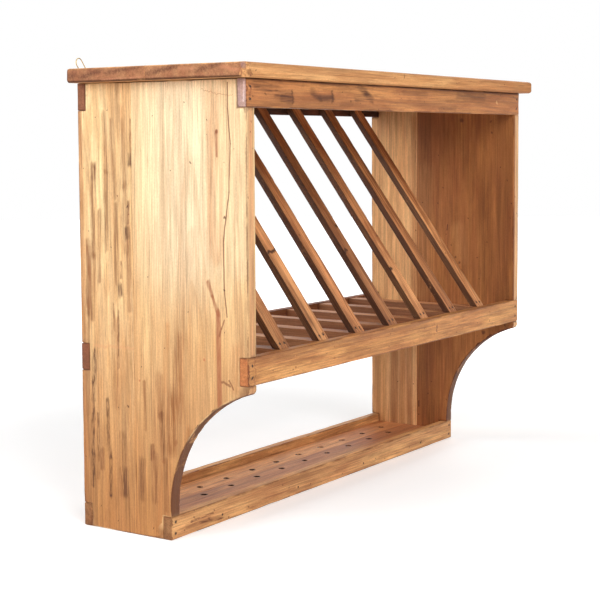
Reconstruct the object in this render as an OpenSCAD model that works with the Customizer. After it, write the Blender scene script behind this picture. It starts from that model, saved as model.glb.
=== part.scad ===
// Wall plate rack of old pine.
// A top board and two side panels with scooped front edges carry six lapped rails. Sloping slats
// over level base slats hold the plates upright, and a drained tray closes the foot.
// X runs across the rack, the front faces -Y, the wall is at +Y and the base stands at Z = 0.

/* [Overall] */
// Width over the two side panels
rack_w = 914; // [760:1:1100]
// Depth of the side panels, from their front edge to the wall
rack_d = 322; // [265:1:390]
// Height from the base to the underside of the top board
rack_h = 696; // [560:1:840]

/* [Top board] */
// Thickness of the top board
top_t = 22; // [16:0.5:30]
// Overhang of the top board past each side panel
top_over_side = 23; // [5:1:40]
// Overhang of the top board in front of the side panels
top_over_front = 16; // [5:1:40]
// Radius of the rounded edges of the top board
top_edge_r = 5; // [1:0.5:7]
// Depth of the back one of the two boards that make the top
top_back_w = 154; // [100:1:200]
// Length of the broken corner along the front edge, at the underside
chip_x = 20; // [4:1:30]
// Length of the broken corner along the left end, at the underside
chip_y = 13; // [4:1:30]
// Distance that the break still takes off the corner at the upper face
chip_top = 2.5; // [0.5:0.5:3]

/* [Side panels] */
// Thickness of a side panel
side_t = 21; // [16:0.5:30]
// Depth of the foot that is left below the scoop
foot_d = 176; // [140:1:200]
// Radius of the rounded nose above the scoop
nose_r = 9; // [4:0.5:14]
// Height of wood between the middle rail and the centre of the nose
nose_gap = 5.5; // [2:0.5:12]
// Height between the top of the low front rail and the end of the scoop
scoop_rise = 12; // [2:1:40]
// Depth of the back one of the two boards that make a side panel
side_back_w = 107; // [70:1:130]

/* [Rails] */
// Thickness of a rail
rail_t = 16; // [12:0.5:24]
// Height of a top rail
top_rail_h = 42; // [36:1:60]
// Height of a middle rail
mid_rail_h = 42; // [36:1:60]
// Height of the underside of the middle rails above the base
mid_rail_z = 249; // [200:1:300]
// Height of a low rail
low_rail_h = 36; // [28:1:50]

/* [Slats] */
// Number of plate slats, each over its own base slat
slat_count = 7; // [4:1:8]
// Width of a slat across the rack
slat_w = 28; // [20:1:34]
// Thickness of a plate slat
slat_t = 12; // [9:0.5:16]
// Clear gap between the outer slats and the side panels
slat_end_gap = 89; // [60:1:110]
// Clearance between the foot of a plate slat and the middle front rail
slat_foot_gap = 3; // [0.5:0.5:10]
// Height between the head of a plate slat and the top board
slat_head_drop = 13; // [8:0.5:16]
// Height of a base slat
base_h = 36; // [20:1:38]
// Drop of the base slats below the upper edge of the middle rails
base_drop = 2; // [0:0.5:6]
// Depth of the housings that hold the ends of a base slat
housing_d = 4; // [2:0.5:8]

/* [Tray] */
// Thickness of the tray boards
tray_t = 18; // [12:0.5:22]
// Height of the tray's underside above the base
tray_z = 3; // [0:0.5:6]
// Depth of the grooves in the side panels that hold the tray boards
tray_groove_d = 8; // [3:0.5:12]
// Depth of the back one of the two tray boards
tray_back_w = 61; // [50:1:80]
// Diameter of a drain hole
drain_d = 10; // [6:0.5:14]
// Number of drain holes in the back row; the front row has one less
drain_count = 11; // [5:1:13]
// Distance from a side panel to the first hole of the back row
drain_end_gap = 55; // [30:1:80]
// Distance between the wall and the back row of holes
drain_back_y = 55; // [45:1:60]
// Distance between the two rows of holes
drain_row_gap = 38; // [25:1:45]

/* [Nails] */
// Diameter of a nail's shank
nail_d = 2.2; // [1.6:0.1:2.6]
// Diameter of a nail's head
nail_head_d = 3.8; // [3:0.1:5]
// Thickness of a nail's head
nail_head_t = 1.2; // [0.8:0.1:2]
// Depth of a nail's head below the face of the wood
nail_sink = 0.4; // [0.2:0.1:1]
// Clearance all round a nail in its hole
nail_fit = 0.05; // [0.02:0.01:0.1]
// Length of a nail through a rail
nail_long = 40; // [30:1:45]
// Length of a nail at the foot of a plate slat
nail_foot = 28; // [22:1:32]
// Length of a nail at the head of a plate slat
nail_head_l = 20; // [14:1:21]
// Distance of a pair of nails from its middle
nail_pair = 9; // [5:0.5:12]
// Distance of the two nails in a slat from its centre line
nail_slat_x = 6; // [4:0.5:8]

/* [Hanging loops] */
// Diameter of the brass wire
wire_d = 1.6; // [1.2:0.1:2]
// Clear gap between the two ends of the wire, side by side in the stem
wire_apart = 0.5; // [0.4:0.1:0.8]
// Radius of the bends where the wire spreads from the stem, on its centre line
wire_bend_r = 1.5; // [1:0.1:2]
// Radius of a loop's round ends, on the wire's centre line
loop_r = 6.7; // [5:0.1:8]
// Distance between the centres of a loop's round ends
loop_l = 14; // [10:0.5:20]
// Lean of a loop towards its end of the rack
loop_lean = 38; // [0:1:45]
// Height of a loop's lower centre below the upper face of the top board
loop_drop = 1; // [0:0.5:4]
// Depth of the pockets that keep the wire clear of the wall
pocket_d = 4; // [3.4:0.1:6]
// Height of a loop's screw below the top board
screw_drop = 16; // [12:0.5:20]
// Diameter of a screw's shank
screw_d = 3.5; // [3:0.1:4]
// Diameter of a screw's head
screw_head_d = 8; // [6.5:0.1:9]
// Length of a screw's shank below its head
screw_l = 26; // [20:1:30]

/* [Hidden] */
slat_ids = [for (i = [1 : slat_count]) i];

$fn = 48;
over = 1; // how far a cutter reaches past the wood it cuts

// Places across the rack
half_w = rack_w / 2;
inner_w = rack_w - 2 * side_t;
slat_pitch = (inner_w - 2 * slat_end_gap - slat_w) / (slat_count - 1);
panel_x = half_w - side_t / 2; // middle of a side panel, where nails and screws go in
drain_pitch = (inner_w - 2 * drain_end_gap) / (drain_count - 1);

// Places from front to back, counted from the front edge of the side panels
front_y = (top_over_front - rack_d) / 2; // that edge when the rack is centred on Y = 0
foot_y = rack_d - foot_d;
back_rail_y = rack_d - rail_t;
side_seam_y = rack_d - side_back_w;
top_seam_y = rack_d - top_back_w;
tray_y = foot_y + rail_t;
tray_seam_y = back_rail_y - tray_back_w;

// Heights
top_rail_z = rack_h - top_rail_h;
mid_top_z = mid_rail_z + mid_rail_h;
base_z = mid_top_z - base_drop - base_h;
base_top_z = base_z + base_h;

// The scoop is one arc. It leaves the foot upright and runs smoothly into the nose.
nose_z = mid_rail_z - nose_gap;
scoop_z = low_rail_h + scoop_rise;
scoop_h = nose_z - scoop_z;
scoop_r = (pow(foot_y - nose_r, 2) + pow(scoop_h, 2) - pow(nose_r, 2)) / (2 * foot_y);
scoop_y = foot_y - scoop_r;
scoop_end = atan2(scoop_h, nose_r - scoop_y); // angle at which the scoop meets the nose
arc_steps = 28;
nose_steps = 10;

// The plate slats lean from the base slats back to the top rail
slat_foot_y = rail_t + slat_foot_gap;
slat_head_z = rack_h - slat_head_drop;
slat_run = back_rail_y - slat_foot_y;
slat_rise = slat_head_z - base_top_z;
slat_lean = atan2(slat_run, slat_rise);
nail_up = 10; // distance of a foot nail up the face of its slat
nail_head_z = slat_head_z - slat_t / sin(slat_lean) / 2;
nail_head_y = slat_foot_y + (nail_head_z - base_top_z) * tan(slat_lean);

// The hanging loops, seen from the front, and the screws that hold them
wire_gap = 0.1; // between the wire and the wood or the screw
wire_sides = 8;
wire_x = (wire_d + wire_apart) / 2; // the two ends stand this far from the middle of the stem
wire_y = rack_d - pocket_d + wire_d / 2 + wire_gap; // the wire lies on the floor of its pocket
screw_z = rack_h - screw_drop;
eye_r = (screw_d + wire_d) / 2 + wire_gap; // the wire's eye fits round the screw's shank
head_y = wire_y + wire_d / 2 + wire_gap;
head_t = rack_d - head_y - wire_gap; // the screw's head stays below the back of the rack
loop_z = rack_h + top_t - loop_drop;
pocket_r = loop_r + wire_d + wire_apart;

tray_nails = [for (i = [-1.5 : 1 : 1.5]) i * inner_w / 4];
top_nails = [0.2, 0.5, 0.8] * rack_d; // clear of the nails and screws that come in level

pine = "#c98f56";
pine_light = "#dfb277";
pine_dark = "#a8693c";
pine_grey = "#b08563";
iron = "#3b302b";
brass = "#b59a52";

// Places its children as if the front edge of the side panels were at Y = 0
module rack() {
    translate([0, front_y, 0])
        children();
}

// A board given by its low and high corners
module board(low, high) {
    translate(low)
        cube(high - low);
}

function arc(centre, r, from, to, steps) =
    [for (i = [0 : steps]) let (a = from + (to - from) * i / steps) centre + r * [cos(a), sin(a)]];

// ---- Nails ----

module nail(length) {
    translate([0, 0, nail_sink])
        cylinder(d = nail_head_d, h = nail_head_t);
    translate([0, 0, nail_sink])
        cylinder(d = nail_d, h = length);
}

module nail_hole(length) {
    translate([0, 0, -over])
        cylinder(d = nail_head_d + 2 * nail_fit, h = over + nail_sink + nail_head_t + nail_fit);
    cylinder(d = nail_d + 2 * nail_fit, h = nail_sink + length + nail_fit);
}

// Nails in the end of a rail that is lapped into the left side panel: one low, one high
module at_rail_end(z, h, places = [-1, 1]) {
    for (s = places)
        translate([-panel_x, 0, z + h / 2 + s * nail_pair])
            rotate([-90, 0, 0])
                children();
}

// All the nails that hold the front rails to the left side panel
module at_left_front_nails() {
    at_rail_end(top_rail_z, top_rail_h)
        children();
    at_rail_end(mid_rail_z, mid_rail_h)
        children();
    translate([0, foot_y, 0])
        at_rail_end(0, low_rail_h)
            children();
}

// All the nails that hold the back rails to the left side panel. At the top the screw of the
// hanging loop takes the place of the upper one.
module at_left_back_nails() {
    translate([0, rack_d, 0])
        mirror([0, 1, 0]) {
            at_rail_end(top_rail_z, top_rail_h, [-1])
                children();
            at_rail_end(mid_rail_z, mid_rail_h)
                children();
            at_rail_end(0, low_rail_h)
                children();
        }
}

module both_sides() {
    children();
    mirror([1, 0, 0])
        children();
}

function slat_x(i) = (i - (slat_count + 1) / 2) * slat_pitch;

// Two nails through the face of plate slat i at its foot
module at_foot_nails(i) {
    for (s = [-1, 1])
        translate([slat_x(i) + s * nail_slat_x, slat_foot_y + nail_up * sin(slat_lean),
                   base_top_z + nail_up * cos(slat_lean)])
            rotate([-90 - slat_lean, 0, 0])
                children();
}

// Two level nails through the head of plate slat i into the top rail
module at_head_nails(i) {
    for (s = [-1, 1])
        translate([slat_x(i) + s * nail_slat_x, nail_head_y, nail_head_z])
            rotate([-90, 0, 0])
                children();
}

// Two nails through the middle front rail into the end of base slat i
module at_base_nails(i) {
    for (s = [-1, 1])
        translate([slat_x(i), 0, base_z + base_h / 2 + s * nail_pair])
            rotate([-90, 0, 0])
                children();
}

// The same nails through the middle back rail
module at_base_back_nails(i) {
    translate([0, rack_d, 0])
        mirror([0, 1, 0])
            at_base_nails(i)
                children();
}

module at_tray_nails() {
    for (x = tray_nails)
        translate([x, foot_y, tray_z + tray_t / 2])
            rotate([-90, 0, 0])
                children();
}

module at_tray_back_nails() {
    for (x = tray_nails)
        translate([x, rack_d, tray_z + tray_t / 2])
            rotate([90, 0, 0])
                children();
}

// Nails through the top board into the upper edge of the left side panel
module at_left_top_nails() {
    for (y = top_nails)
        translate([-panel_x, y, rack_h + top_t])
            rotate([180, 0, 0])
                children();
}

// ---- Side panels ----

// Outline of a whole side panel: X is the distance from its front edge, Y the height
module side_outline() {
    polygon(concat(
        [[rack_d, 0], [rack_d, rack_h], [0, rack_h]],
        arc([nose_r, nose_z], nose_r, 180, 180 + scoop_end, nose_steps),
        arc([scoop_y, scoop_z], scoop_r, scoop_end * (1 - 1 / arc_steps), 0, arc_steps - 1),
        [[foot_y, 0]]));
}

// The left side panel, cut for the rails, the tray and every nail
module side_left() {
    difference() {
        translate([-half_w, 0, 0])
            rotate([90, 0, 90])
                linear_extrude(height = side_t)
                    side_outline();
        for (r = [[top_rail_z, top_rail_h + over], [mid_rail_z, mid_rail_h]])
            board([-half_w - over, -over, r[0]], [-half_w + side_t + over, rail_t, r[0] + r[1]]);
        board([-half_w - over, foot_y - over, -over], [-half_w + side_t + over, tray_y, low_rail_h]);
        for (r = [[top_rail_z, top_rail_h + over], [mid_rail_z, mid_rail_h], [-over, low_rail_h + over]])
            board([-half_w - over, back_rail_y, r[0]],
                  [-half_w + side_t + over, rack_d + over, r[0] + r[1]]);
        board([-half_w + side_t - tray_groove_d, tray_y - over, tray_z],
              [-half_w + side_t + over, back_rail_y + over, tray_z + tray_t]);
        at_left_front_nails()
            nail_hole(nail_long);
        at_left_back_nails()
            nail_hole(nail_long);
        at_left_top_nails()
            nail_hole(nail_long);
        loop_screw_hole();
    }
}

module side_left_front() {
    color(pine_light)
        rack()
            intersection() {
                side_left();
                board([-rack_w, -over, -over], [0, side_seam_y, rack_h + over]);
            }
}

module side_left_back() {
    color(pine)
        rack()
            intersection() {
                side_left();
                board([-rack_w, side_seam_y, -over], [0, rack_d + over, rack_h + over]);
            }
}

module side_right_front() {
    mirror([1, 0, 0])
        side_left_front();
}

module side_right_back() {
    mirror([1, 0, 0])
        side_left_back();
}

// ---- Rails ----

module rail_top_front() {
    color(pine_dark)
        rack()
            difference() {
                board([-half_w, 0, top_rail_z], [half_w, rail_t, rack_h]);
                both_sides()
                    at_rail_end(top_rail_z, top_rail_h)
                        nail_hole(nail_long);
            }
}

module rail_top_back() {
    color(pine_dark)
        rack()
            difference() {
                board([-half_w, back_rail_y, top_rail_z], [half_w, rack_d, rack_h]);
                both_sides() {
                    at_left_back_nails()
                        nail_hole(nail_long);
                    loop_screw_hole();
                    loop_pocket_low();
                }
                for (i = slat_ids)
                    at_head_nails(i)
                        nail_hole(nail_head_l);
            }
}

// A middle rail in front, with the housings for the base slats in its back face
module middle_rail() {
    difference() {
        board([-half_w, 0, mid_rail_z], [half_w, rail_t, mid_top_z]);
        for (i = slat_ids) {
            board([slat_x(i) - slat_w / 2, rail_t - housing_d, base_z],
                  [slat_x(i) + slat_w / 2, rail_t + over, base_top_z]);
            at_base_nails(i)
                nail_hole(nail_long);
        }
        both_sides()
            at_rail_end(mid_rail_z, mid_rail_h)
                nail_hole(nail_long);
    }
}

module rail_middle_front() {
    color(pine)
        rack()
            middle_rail();
}

module rail_middle_back() {
    color(pine)
        rack()
            translate([0, rack_d, 0])
                mirror([0, 1, 0])
                    middle_rail();
}

module rail_low_front() {
    color(pine)
        rack()
            difference() {
                board([-half_w, foot_y, 0], [half_w, tray_y, low_rail_h]);
                both_sides()
                    at_left_front_nails()
                        nail_hole(nail_long);
                at_tray_nails()
                    nail_hole(nail_long);
            }
}

module rail_low_back() {
    color(pine)
        rack()
            difference() {
                board([-half_w, back_rail_y, 0], [half_w, rack_d, low_rail_h]);
                both_sides()
                    at_left_back_nails()
                        nail_hole(nail_long);
                at_tray_back_nails()
                    nail_hole(nail_long);
            }
}

// ---- Slats ----

// One leaning slat. Its foot is cut level to stand on the base slat, its head is cut upright.
module plate_slat(i) {
    color(pine)
        rack()
            difference() {
                translate([slat_x(i) - slat_w / 2, 0, 0])
                    rotate([90, 0, 90])
                        linear_extrude(height = slat_w)
                            polygon([
                                [slat_foot_y, base_top_z],
                                [slat_foot_y + slat_t / cos(slat_lean), base_top_z],
                                [back_rail_y, slat_head_z - slat_t / sin(slat_lean)],
                                [back_rail_y, slat_head_z]]);
                at_foot_nails(i)
                    nail_hole(nail_foot);
                at_head_nails(i)
                    nail_hole(nail_head_l);
            }
}

module base_slat(i) {
    color(pine_dark)
        rack()
            difference() {
                board([slat_x(i) - slat_w / 2, rail_t - housing_d, base_z],
                      [slat_x(i) + slat_w / 2, back_rail_y + housing_d, base_top_z]);
                at_foot_nails(i)
                    nail_hole(nail_foot);
                at_base_nails(i)
                    nail_hole(nail_long);
                at_base_back_nails(i)
                    nail_hole(nail_long);
            }
}

// ---- Tray ----

// A row of drain holes, centred, at a distance y from the front
module drain_row(count, y) {
    for (i = [0 : count - 1])
        translate([(i - (count - 1) / 2) * drain_pitch, y, tray_z - over])
            cylinder(d = drain_d, h = tray_t + 2 * over);
}

// Both rows, cut from both boards, so that the seam between them may run anywhere
module drain_rows() {
    drain_row(drain_count - 1, rack_d - drain_back_y - drain_row_gap);
    drain_row(drain_count, rack_d - drain_back_y);
}

module tray_board(from_y, to_y) {
    board([-inner_w / 2 - tray_groove_d, from_y, tray_z],
          [inner_w / 2 + tray_groove_d, to_y, tray_z + tray_t]);
}

module tray_board_front() {
    color(pine_grey)
        rack()
            difference() {
                tray_board(tray_y, tray_seam_y);
                drain_rows();
                at_tray_nails()
                    nail_hole(nail_long);
            }
}

module tray_board_back() {
    color(pine)
        rack()
            difference() {
                tray_board(tray_seam_y, back_rail_y);
                drain_rows();
                at_tray_back_nails()
                    nail_hole(nail_long);
            }
}

// ---- Top board ----

// Section of the top from front to back, with rounded front edges
module top_section() {
    polygon(concat(
        [[rack_d, 0], [rack_d, top_t]],
        arc([top_edge_r - top_over_front, top_t - top_edge_r], top_edge_r, 90, 180, 6),
        arc([top_edge_r - top_over_front, top_edge_r], top_edge_r, 180, 270, 6)));
}

// Outline of the top from end to end, with rounded end edges
module top_ends() {
    polygon(concat(
        arc([half_w + top_over_side - top_edge_r, top_edge_r], top_edge_r, -90, 0, 6),
        arc([half_w + top_over_side - top_edge_r, top_t - top_edge_r], top_edge_r, 0, 90, 6),
        arc([top_edge_r - half_w - top_over_side, top_t - top_edge_r], top_edge_r, 90, 180, 6),
        arc([top_edge_r - half_w - top_over_side, top_edge_r], top_edge_r, 180, 270, 6)));
}

// The piece that is broken off the left front corner: a sloping cut, deepest at the underside
module corner_break() {
    turn = atan2(chip_x, chip_y);
    depth = chip_x * chip_y / norm([chip_x, chip_y]);
    tilt = atan2(depth - chip_top, top_t);
    reach = 2 * (chip_x + chip_y);
    translate([-half_w - top_over_side, -top_over_front, 0])
        rotate([0, 0, turn])
            translate([depth, 0, 0])
                rotate([0, -tilt, 0])
                    translate([-reach, -reach, -top_t])
                        cube([reach, 2 * reach, 3 * top_t]);
}

module top_board() {
    difference() {
        translate([0, 0, rack_h])
            intersection() {
                translate([-half_w - top_over_side, 0, 0])
                    rotate([90, 0, 90])
                        linear_extrude(height = rack_w + 2 * top_over_side)
                            top_section();
                translate([0, rack_d + over, 0])
                    rotate([90, 0, 0])
                        linear_extrude(height = rack_d + top_over_front + 2 * over)
                            top_ends();
            }
        translate([0, 0, rack_h])
            corner_break();
        both_sides() {
            at_left_top_nails()
                nail_hole(nail_long);
            loop_pocket_high();
        }
    }
}

module top_board_front() {
    color(pine_dark)
        rack()
            intersection() {
                top_board();
                board([-rack_w, -rack_d, rack_h - over], [rack_w, top_seam_y, rack_h + top_t + over]);
            }
}

module top_board_back() {
    color(pine_dark)
        rack()
            intersection() {
                top_board();
                board([-rack_w, top_seam_y, rack_h - over], [rack_w, rack_d + over, rack_h + top_t + over]);
            }
}

// ---- Hanging loops ----

// Pocket in the back of the rail for the screw and the stem of the loop
module loop_pocket_low() {
    board([-panel_x - screw_head_d / 2 - over, rack_d - pocket_d, screw_z - screw_head_d / 2 - over],
          [-panel_x + screw_head_d / 2 + over, rack_d + over, rack_h + over]);
}

// Pocket in the back edge of the top board, where the loop comes up. It is wider towards the
// end of the rack, because the loop leans that way.
module loop_pocket_high() {
    board([-panel_x - pocket_r - loop_r / 2, rack_d - pocket_d, rack_h - over],
          [-panel_x + pocket_r, rack_d + over, rack_h + top_t + over]);
}

module loop_screw_hole() {
    translate([-panel_x, rack_d + over, screw_z])
        rotate([90, 0, 0])
            cylinder(d = screw_d + 2 * nail_fit, h = over + pocket_d + screw_l + nail_fit);
}

// A screw with a low round head, standing in its pocket
module loop_screw() {
    translate([-panel_x, head_y, screw_z]) {
        rotate([90, 0, 0])
            cylinder(d = screw_d, h = screw_l);
        rotate([-90, 0, 0])
            cylinder(d1 = screw_head_d, d2 = 0.7 * screw_head_d, h = head_t);
    }
}

// The bend between the stem and a ring of radius r centred at height z. It turns away from the
// stem at the side +1, below the ring or above it.
function bend_rise(r) = sqrt(pow(r + wire_bend_r, 2) - pow(wire_x + wire_bend_r, 2));
function bend_angle(r) = asin((wire_x + wire_bend_r) / (r + wire_bend_r));

// Centre line of the wire as seen from the front, with the stem at X = 0: up its right side,
// round the leaning oval, down its left side and round the screw
function wire_line() =
    let (low = [0, loop_z],
         high = low + loop_l * [-sin(loop_lean), cos(loop_lean)],
         top_a = bend_angle(loop_r),
         eye_a = bend_angle(eye_r),
         top_z = loop_z - bend_rise(loop_r),
         eye_z = screw_z + bend_rise(eye_r),
         x = wire_x + wire_bend_r)
    concat(
        arc([x, top_z], wire_bend_r, 180, 90 + top_a, 3),
        arc(low, loop_r, top_a - 75, loop_lean, 6),
        arc(high, loop_r, loop_lean, 180 + loop_lean, 12),
        arc(low, loop_r, 180 + loop_lean, 255 - top_a, 4),
        arc([-x, top_z], wire_bend_r, 90 - top_a, 0, 3),
        arc([-x, eye_z], wire_bend_r, 0, eye_a - 90, 3),
        arc([0, screw_z], eye_r, 105 + eye_a, 435 - eye_a, 12),
        arc([x, eye_z], wire_bend_r, 270 - eye_a, 180, 3));

// A closed tube whose centre line lies in the upright plane Y = 0
module closed_tube(line, d, sides) {
    n = len(line);
    points = [
        for (i = [0 : n - 1])
            let (step = line[(i + 1) % n] - line[(i + n - 1) % n], t = step / norm(step))
                for (j = [0 : sides - 1])
                    let (a = 360 * j / sides, out = d / 2 * cos(a))
                        [line[i][0] + out * t[1], d / 2 * sin(a), line[i][1] - out * t[0]]];
    faces = [
        for (i = [0 : n - 1], j = [0 : sides - 1])
            let (k = (i + 1) % n, m = (j + 1) % sides)
                [i * sides + j, k * sides + j, k * sides + m, i * sides + m]];
    polyhedron(points, faces);
}

module hanging_loop() {
    translate([-panel_x, wire_y, 0])
        closed_tube(wire_line(), wire_d, wire_sides);
}

module hanging_loop_left() {
    color(brass)
        rack()
            hanging_loop();
}

module hanging_loop_right() {
    mirror([1, 0, 0])
        hanging_loop_left();
}

module loop_screw_left() {
    color(iron)
        rack()
            loop_screw();
}

module loop_screw_right() {
    mirror([1, 0, 0])
        loop_screw_left();
}

// ---- The nails, by what they hold ----

module nails_rails_front() {
    color(iron)
        rack()
            both_sides()
                at_left_front_nails()
                    nail(nail_long);
}

module nails_rails_back() {
    color(iron)
        rack()
            both_sides()
                at_left_back_nails()
                    nail(nail_long);
}

module nails_slat_feet() {
    color(iron)
        rack()
            for (i = slat_ids)
                at_foot_nails(i)
                    nail(nail_foot);
}

module nails_slat_heads() {
    color(iron)
        rack()
            for (i = slat_ids)
                at_head_nails(i)
                    nail(nail_head_l);
}

module nails_base_front() {
    color(iron)
        rack()
            for (i = slat_ids)
                at_base_nails(i)
                    nail(nail_long);
}

module nails_base_back() {
    color(iron)
        rack()
            for (i = slat_ids)
                at_base_back_nails(i)
                    nail(nail_long);
}

module nails_tray() {
    color(iron)
        rack() {
            at_tray_nails()
                nail(nail_long);
            at_tray_back_nails()
                nail(nail_long);
        }
}

module nails_top() {
    color(iron)
        rack()
            both_sides()
                at_left_top_nails()
                    nail(nail_long);
}

// ---- The rack ----

top_board_front();
top_board_back();
side_left_front();
side_left_back();
side_right_front();
side_right_back();
rail_top_front();
rail_top_back();
rail_middle_front();
rail_middle_back();
rail_low_front();
rail_low_back();
for (i = slat_ids) {
    plate_slat(i);
    base_slat(i);
}
tray_board_front();
tray_board_back();
hanging_loop_left();
hanging_loop_right();
loop_screw_left();
loop_screw_right();
nails_rails_front();
nails_rails_back();
nails_slat_feet();
nails_slat_heads();
nails_base_front();
nails_base_back();
nails_tray();
nails_top();
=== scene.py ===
"""A wall plate rack of old waxed pine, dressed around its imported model.

Sizes are in millimetres in the rack's own frame, and become metres where a mesh or a material
takes them. X runs across the rack, the front faces -Y and the rack stands at Z = 0.
"""

import logging
import math
from dataclasses import dataclass, field, replace
from enum import Enum

import bmesh
import bpy
import numpy as np
from mathutils import Matrix, Vector, noise


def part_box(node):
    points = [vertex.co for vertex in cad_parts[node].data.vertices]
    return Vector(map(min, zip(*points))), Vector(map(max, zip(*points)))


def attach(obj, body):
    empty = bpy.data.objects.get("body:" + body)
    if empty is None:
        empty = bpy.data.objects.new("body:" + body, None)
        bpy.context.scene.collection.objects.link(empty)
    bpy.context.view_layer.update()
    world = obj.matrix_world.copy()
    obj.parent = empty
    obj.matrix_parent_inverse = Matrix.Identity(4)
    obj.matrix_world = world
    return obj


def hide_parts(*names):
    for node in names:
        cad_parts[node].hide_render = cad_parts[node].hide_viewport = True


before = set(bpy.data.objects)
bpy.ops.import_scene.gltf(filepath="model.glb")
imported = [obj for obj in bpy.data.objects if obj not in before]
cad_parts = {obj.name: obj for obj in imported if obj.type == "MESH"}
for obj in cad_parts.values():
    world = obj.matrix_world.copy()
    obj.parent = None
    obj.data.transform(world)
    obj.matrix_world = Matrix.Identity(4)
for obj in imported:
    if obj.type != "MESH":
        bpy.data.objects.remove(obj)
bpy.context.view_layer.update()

log = logging.getLogger("plate_rack")

MM = 0.001  # metres in a millimetre

# Sizes of the rack that the boxes of its parts don't give
RAIL_T = 16.0
PANEL_T = 21.0
FRONT_Y = -153.0
BACK_Y = 169.0
HALF_W = 457.0
PANEL_X = HALF_W - PANEL_T / 2
RACK_H = 696.0
TOP_Z = 718.0
FOOT_Y = -7.0
BASE_TOP_Z = 289.0
BASE_H = 36.0
SIDE_SEAM = 62.0
TOP_SEAM = 15.0
TRAY_SEAM = 92.0
TRAY_LEVELS = (3.0, 21.0)
DRAIN_R = 5.0
RAIL_LEVELS = ((0.0, 36.0), (249.0, 291.0), (654.0, 696.0))

# The scoop rises from the foot at this height and runs into the nose under the middle rail
SCOOP_Z = 48.0
NOSE_R = 9.0
NOSE_Z = 243.5
SCOOP_R = (((FOOT_Y - FRONT_Y - NOSE_R) ** 2 + (NOSE_Z - SCOOP_Z) ** 2 - NOSE_R ** 2)
           / (2 * (FOOT_Y - FRONT_Y)))

# The plate slats lean from their feet on the base slats to their heads at the back top rail
SLAT_XS = (-333.0, -222.0, -111.0, 0.0, 111.0, 222.0, 333.0)
SLAT_T = 12.0
SLAT_FOOT_Y = -134.0
SLAT_HEAD_Z = 683.0
SLAT_LEAN = math.atan2(BACK_Y - RAIL_T - SLAT_FOOT_Y, SLAT_HEAD_Z - BASE_TOP_Z)

# Nails, by their lengths and their places
RAIL_NAIL = 40.0
FOOT_NAIL = 28.0
HEAD_NAIL = 20.0
TOP_NAIL_YS = (-88.6, 8.0, 104.6)
TRAY_NAIL_XS = (-327.0, -109.0, 109.0, 327.0)
TRAY_NAIL_Z = 12.0

# The pockets behind the top and its rail, in which the wire of the hanging loops lies
WIRE_POCKET_Y = (BACK_Y - 4, BACK_Y + 1)

BMesh = bmesh.types.BMesh
NodeTree = bpy.types.NodeTree
Socket = bpy.types.NodeSocket
Point = tuple[float, float, float]
Boxes = tuple[tuple[Point, Point], ...]
Lines = list[tuple[Vector, Vector]]
Shade = tuple[int, int, int]

# Colours that several materials share
WORM = (64, 36, 24)
STAIN = (118, 66, 42)
REDDISH = (178, 96, 62)
RUDDY = (172, 96, 60)
FLECK = (110, 62, 34)
GRIME = (86, 46, 26)
RUST = (70, 42, 30)
KNOT_HEART = (128, 70, 40)
KNOT_RIM = (76, 40, 26)

# A stroke wider than this breaks up along the brush pattern, and a finer one in dashes
BROAD = 6.6


def linear(shade: Shade) -> tuple[float, float, float, float]:
    """Turns a screen colour into the linear one that materials take.

    Args:
        shade: the screen colour, three numbers up to 255.

    Returns:
        The linear colour with alpha.
    """
    parts = [c / 255 for c in shade]
    parts = [c / 12.92 if c <= 0.04045 else ((c + 0.055) / 1.055) ** 2.4 for c in parts]
    return parts[0], parts[1], parts[2], 1.0


# ---- Places on the rack ----


class Face(Enum):
    """A face of the rack on which marks are placed.

    The value holds the axis that the face is square to and where the face lies on it. Marks
    are given by two numbers, along the other two axes. Depths are counted from the front edge
    of the side panels.
    """

    LEFT = (0, -HALF_W)
    RIGHT_INSIDE = (0, HALF_W - PANEL_T)
    TOP_END = (0, -480.0)
    TOP_EDGE = (1, -169.0)
    FRONT = (1, FRONT_Y)
    LOW_FRONT = (1, FOOT_Y)
    BACK_INSIDE = (1, BACK_Y - RAIL_T)
    BACK = (1, BACK_Y)
    TRAY = (2, TRAY_LEVELS[1])

    def at(self, across: float, up: float) -> Point:
        """Returns the point of the face at two numbers.

        Args:
            across: the first number.
            up: the second one.

        Returns:
            The point.
        """
        axis, level = self.value
        if axis == 0:
            return (level, across + FRONT_Y, up)
        if axis == 1:
            return (across, level, up)
        return (across, up + FRONT_Y, level)


@dataclass(frozen=True)
class Mark:
    """A dot or a stroke of another colour on a board.

    Attributes:
        start: where it begins.
        stop: where it ends, or None for a dot.
        width: how far it reaches from its line.
        shade: its colour.
        strength: how much of that colour it takes, up to 1.
        core: the share of the width that has the full strength.
        broken: how far it breaks up into flecks, up to 1.
        ruled: whether it keeps its outline, which otherwise wanders with the grain.
    """

    start: Point
    stop: Point | None = None
    width: float = 1.5
    shade: Shade = WORM
    strength: float = 0.8
    core: float = 0.35
    broken: float = 0.0
    ruled: bool = False


Marks = tuple[Mark, ...]


def dots(face: Face, places: tuple[tuple[float, float], ...], width: float = 1.5,
         shade: Shade = WORM, strength: float = 0.8) -> Marks:
    """Returns dots on a face.

    Args:
        face: the face.
        places: where the dots are on it.
        width: their radius.
        shade: their colour.
        strength: how strong they are.

    Returns:
        One mark for each dot.
    """
    return tuple(Mark(face.at(*place), None, width, shade, strength) for place in places)


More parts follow.
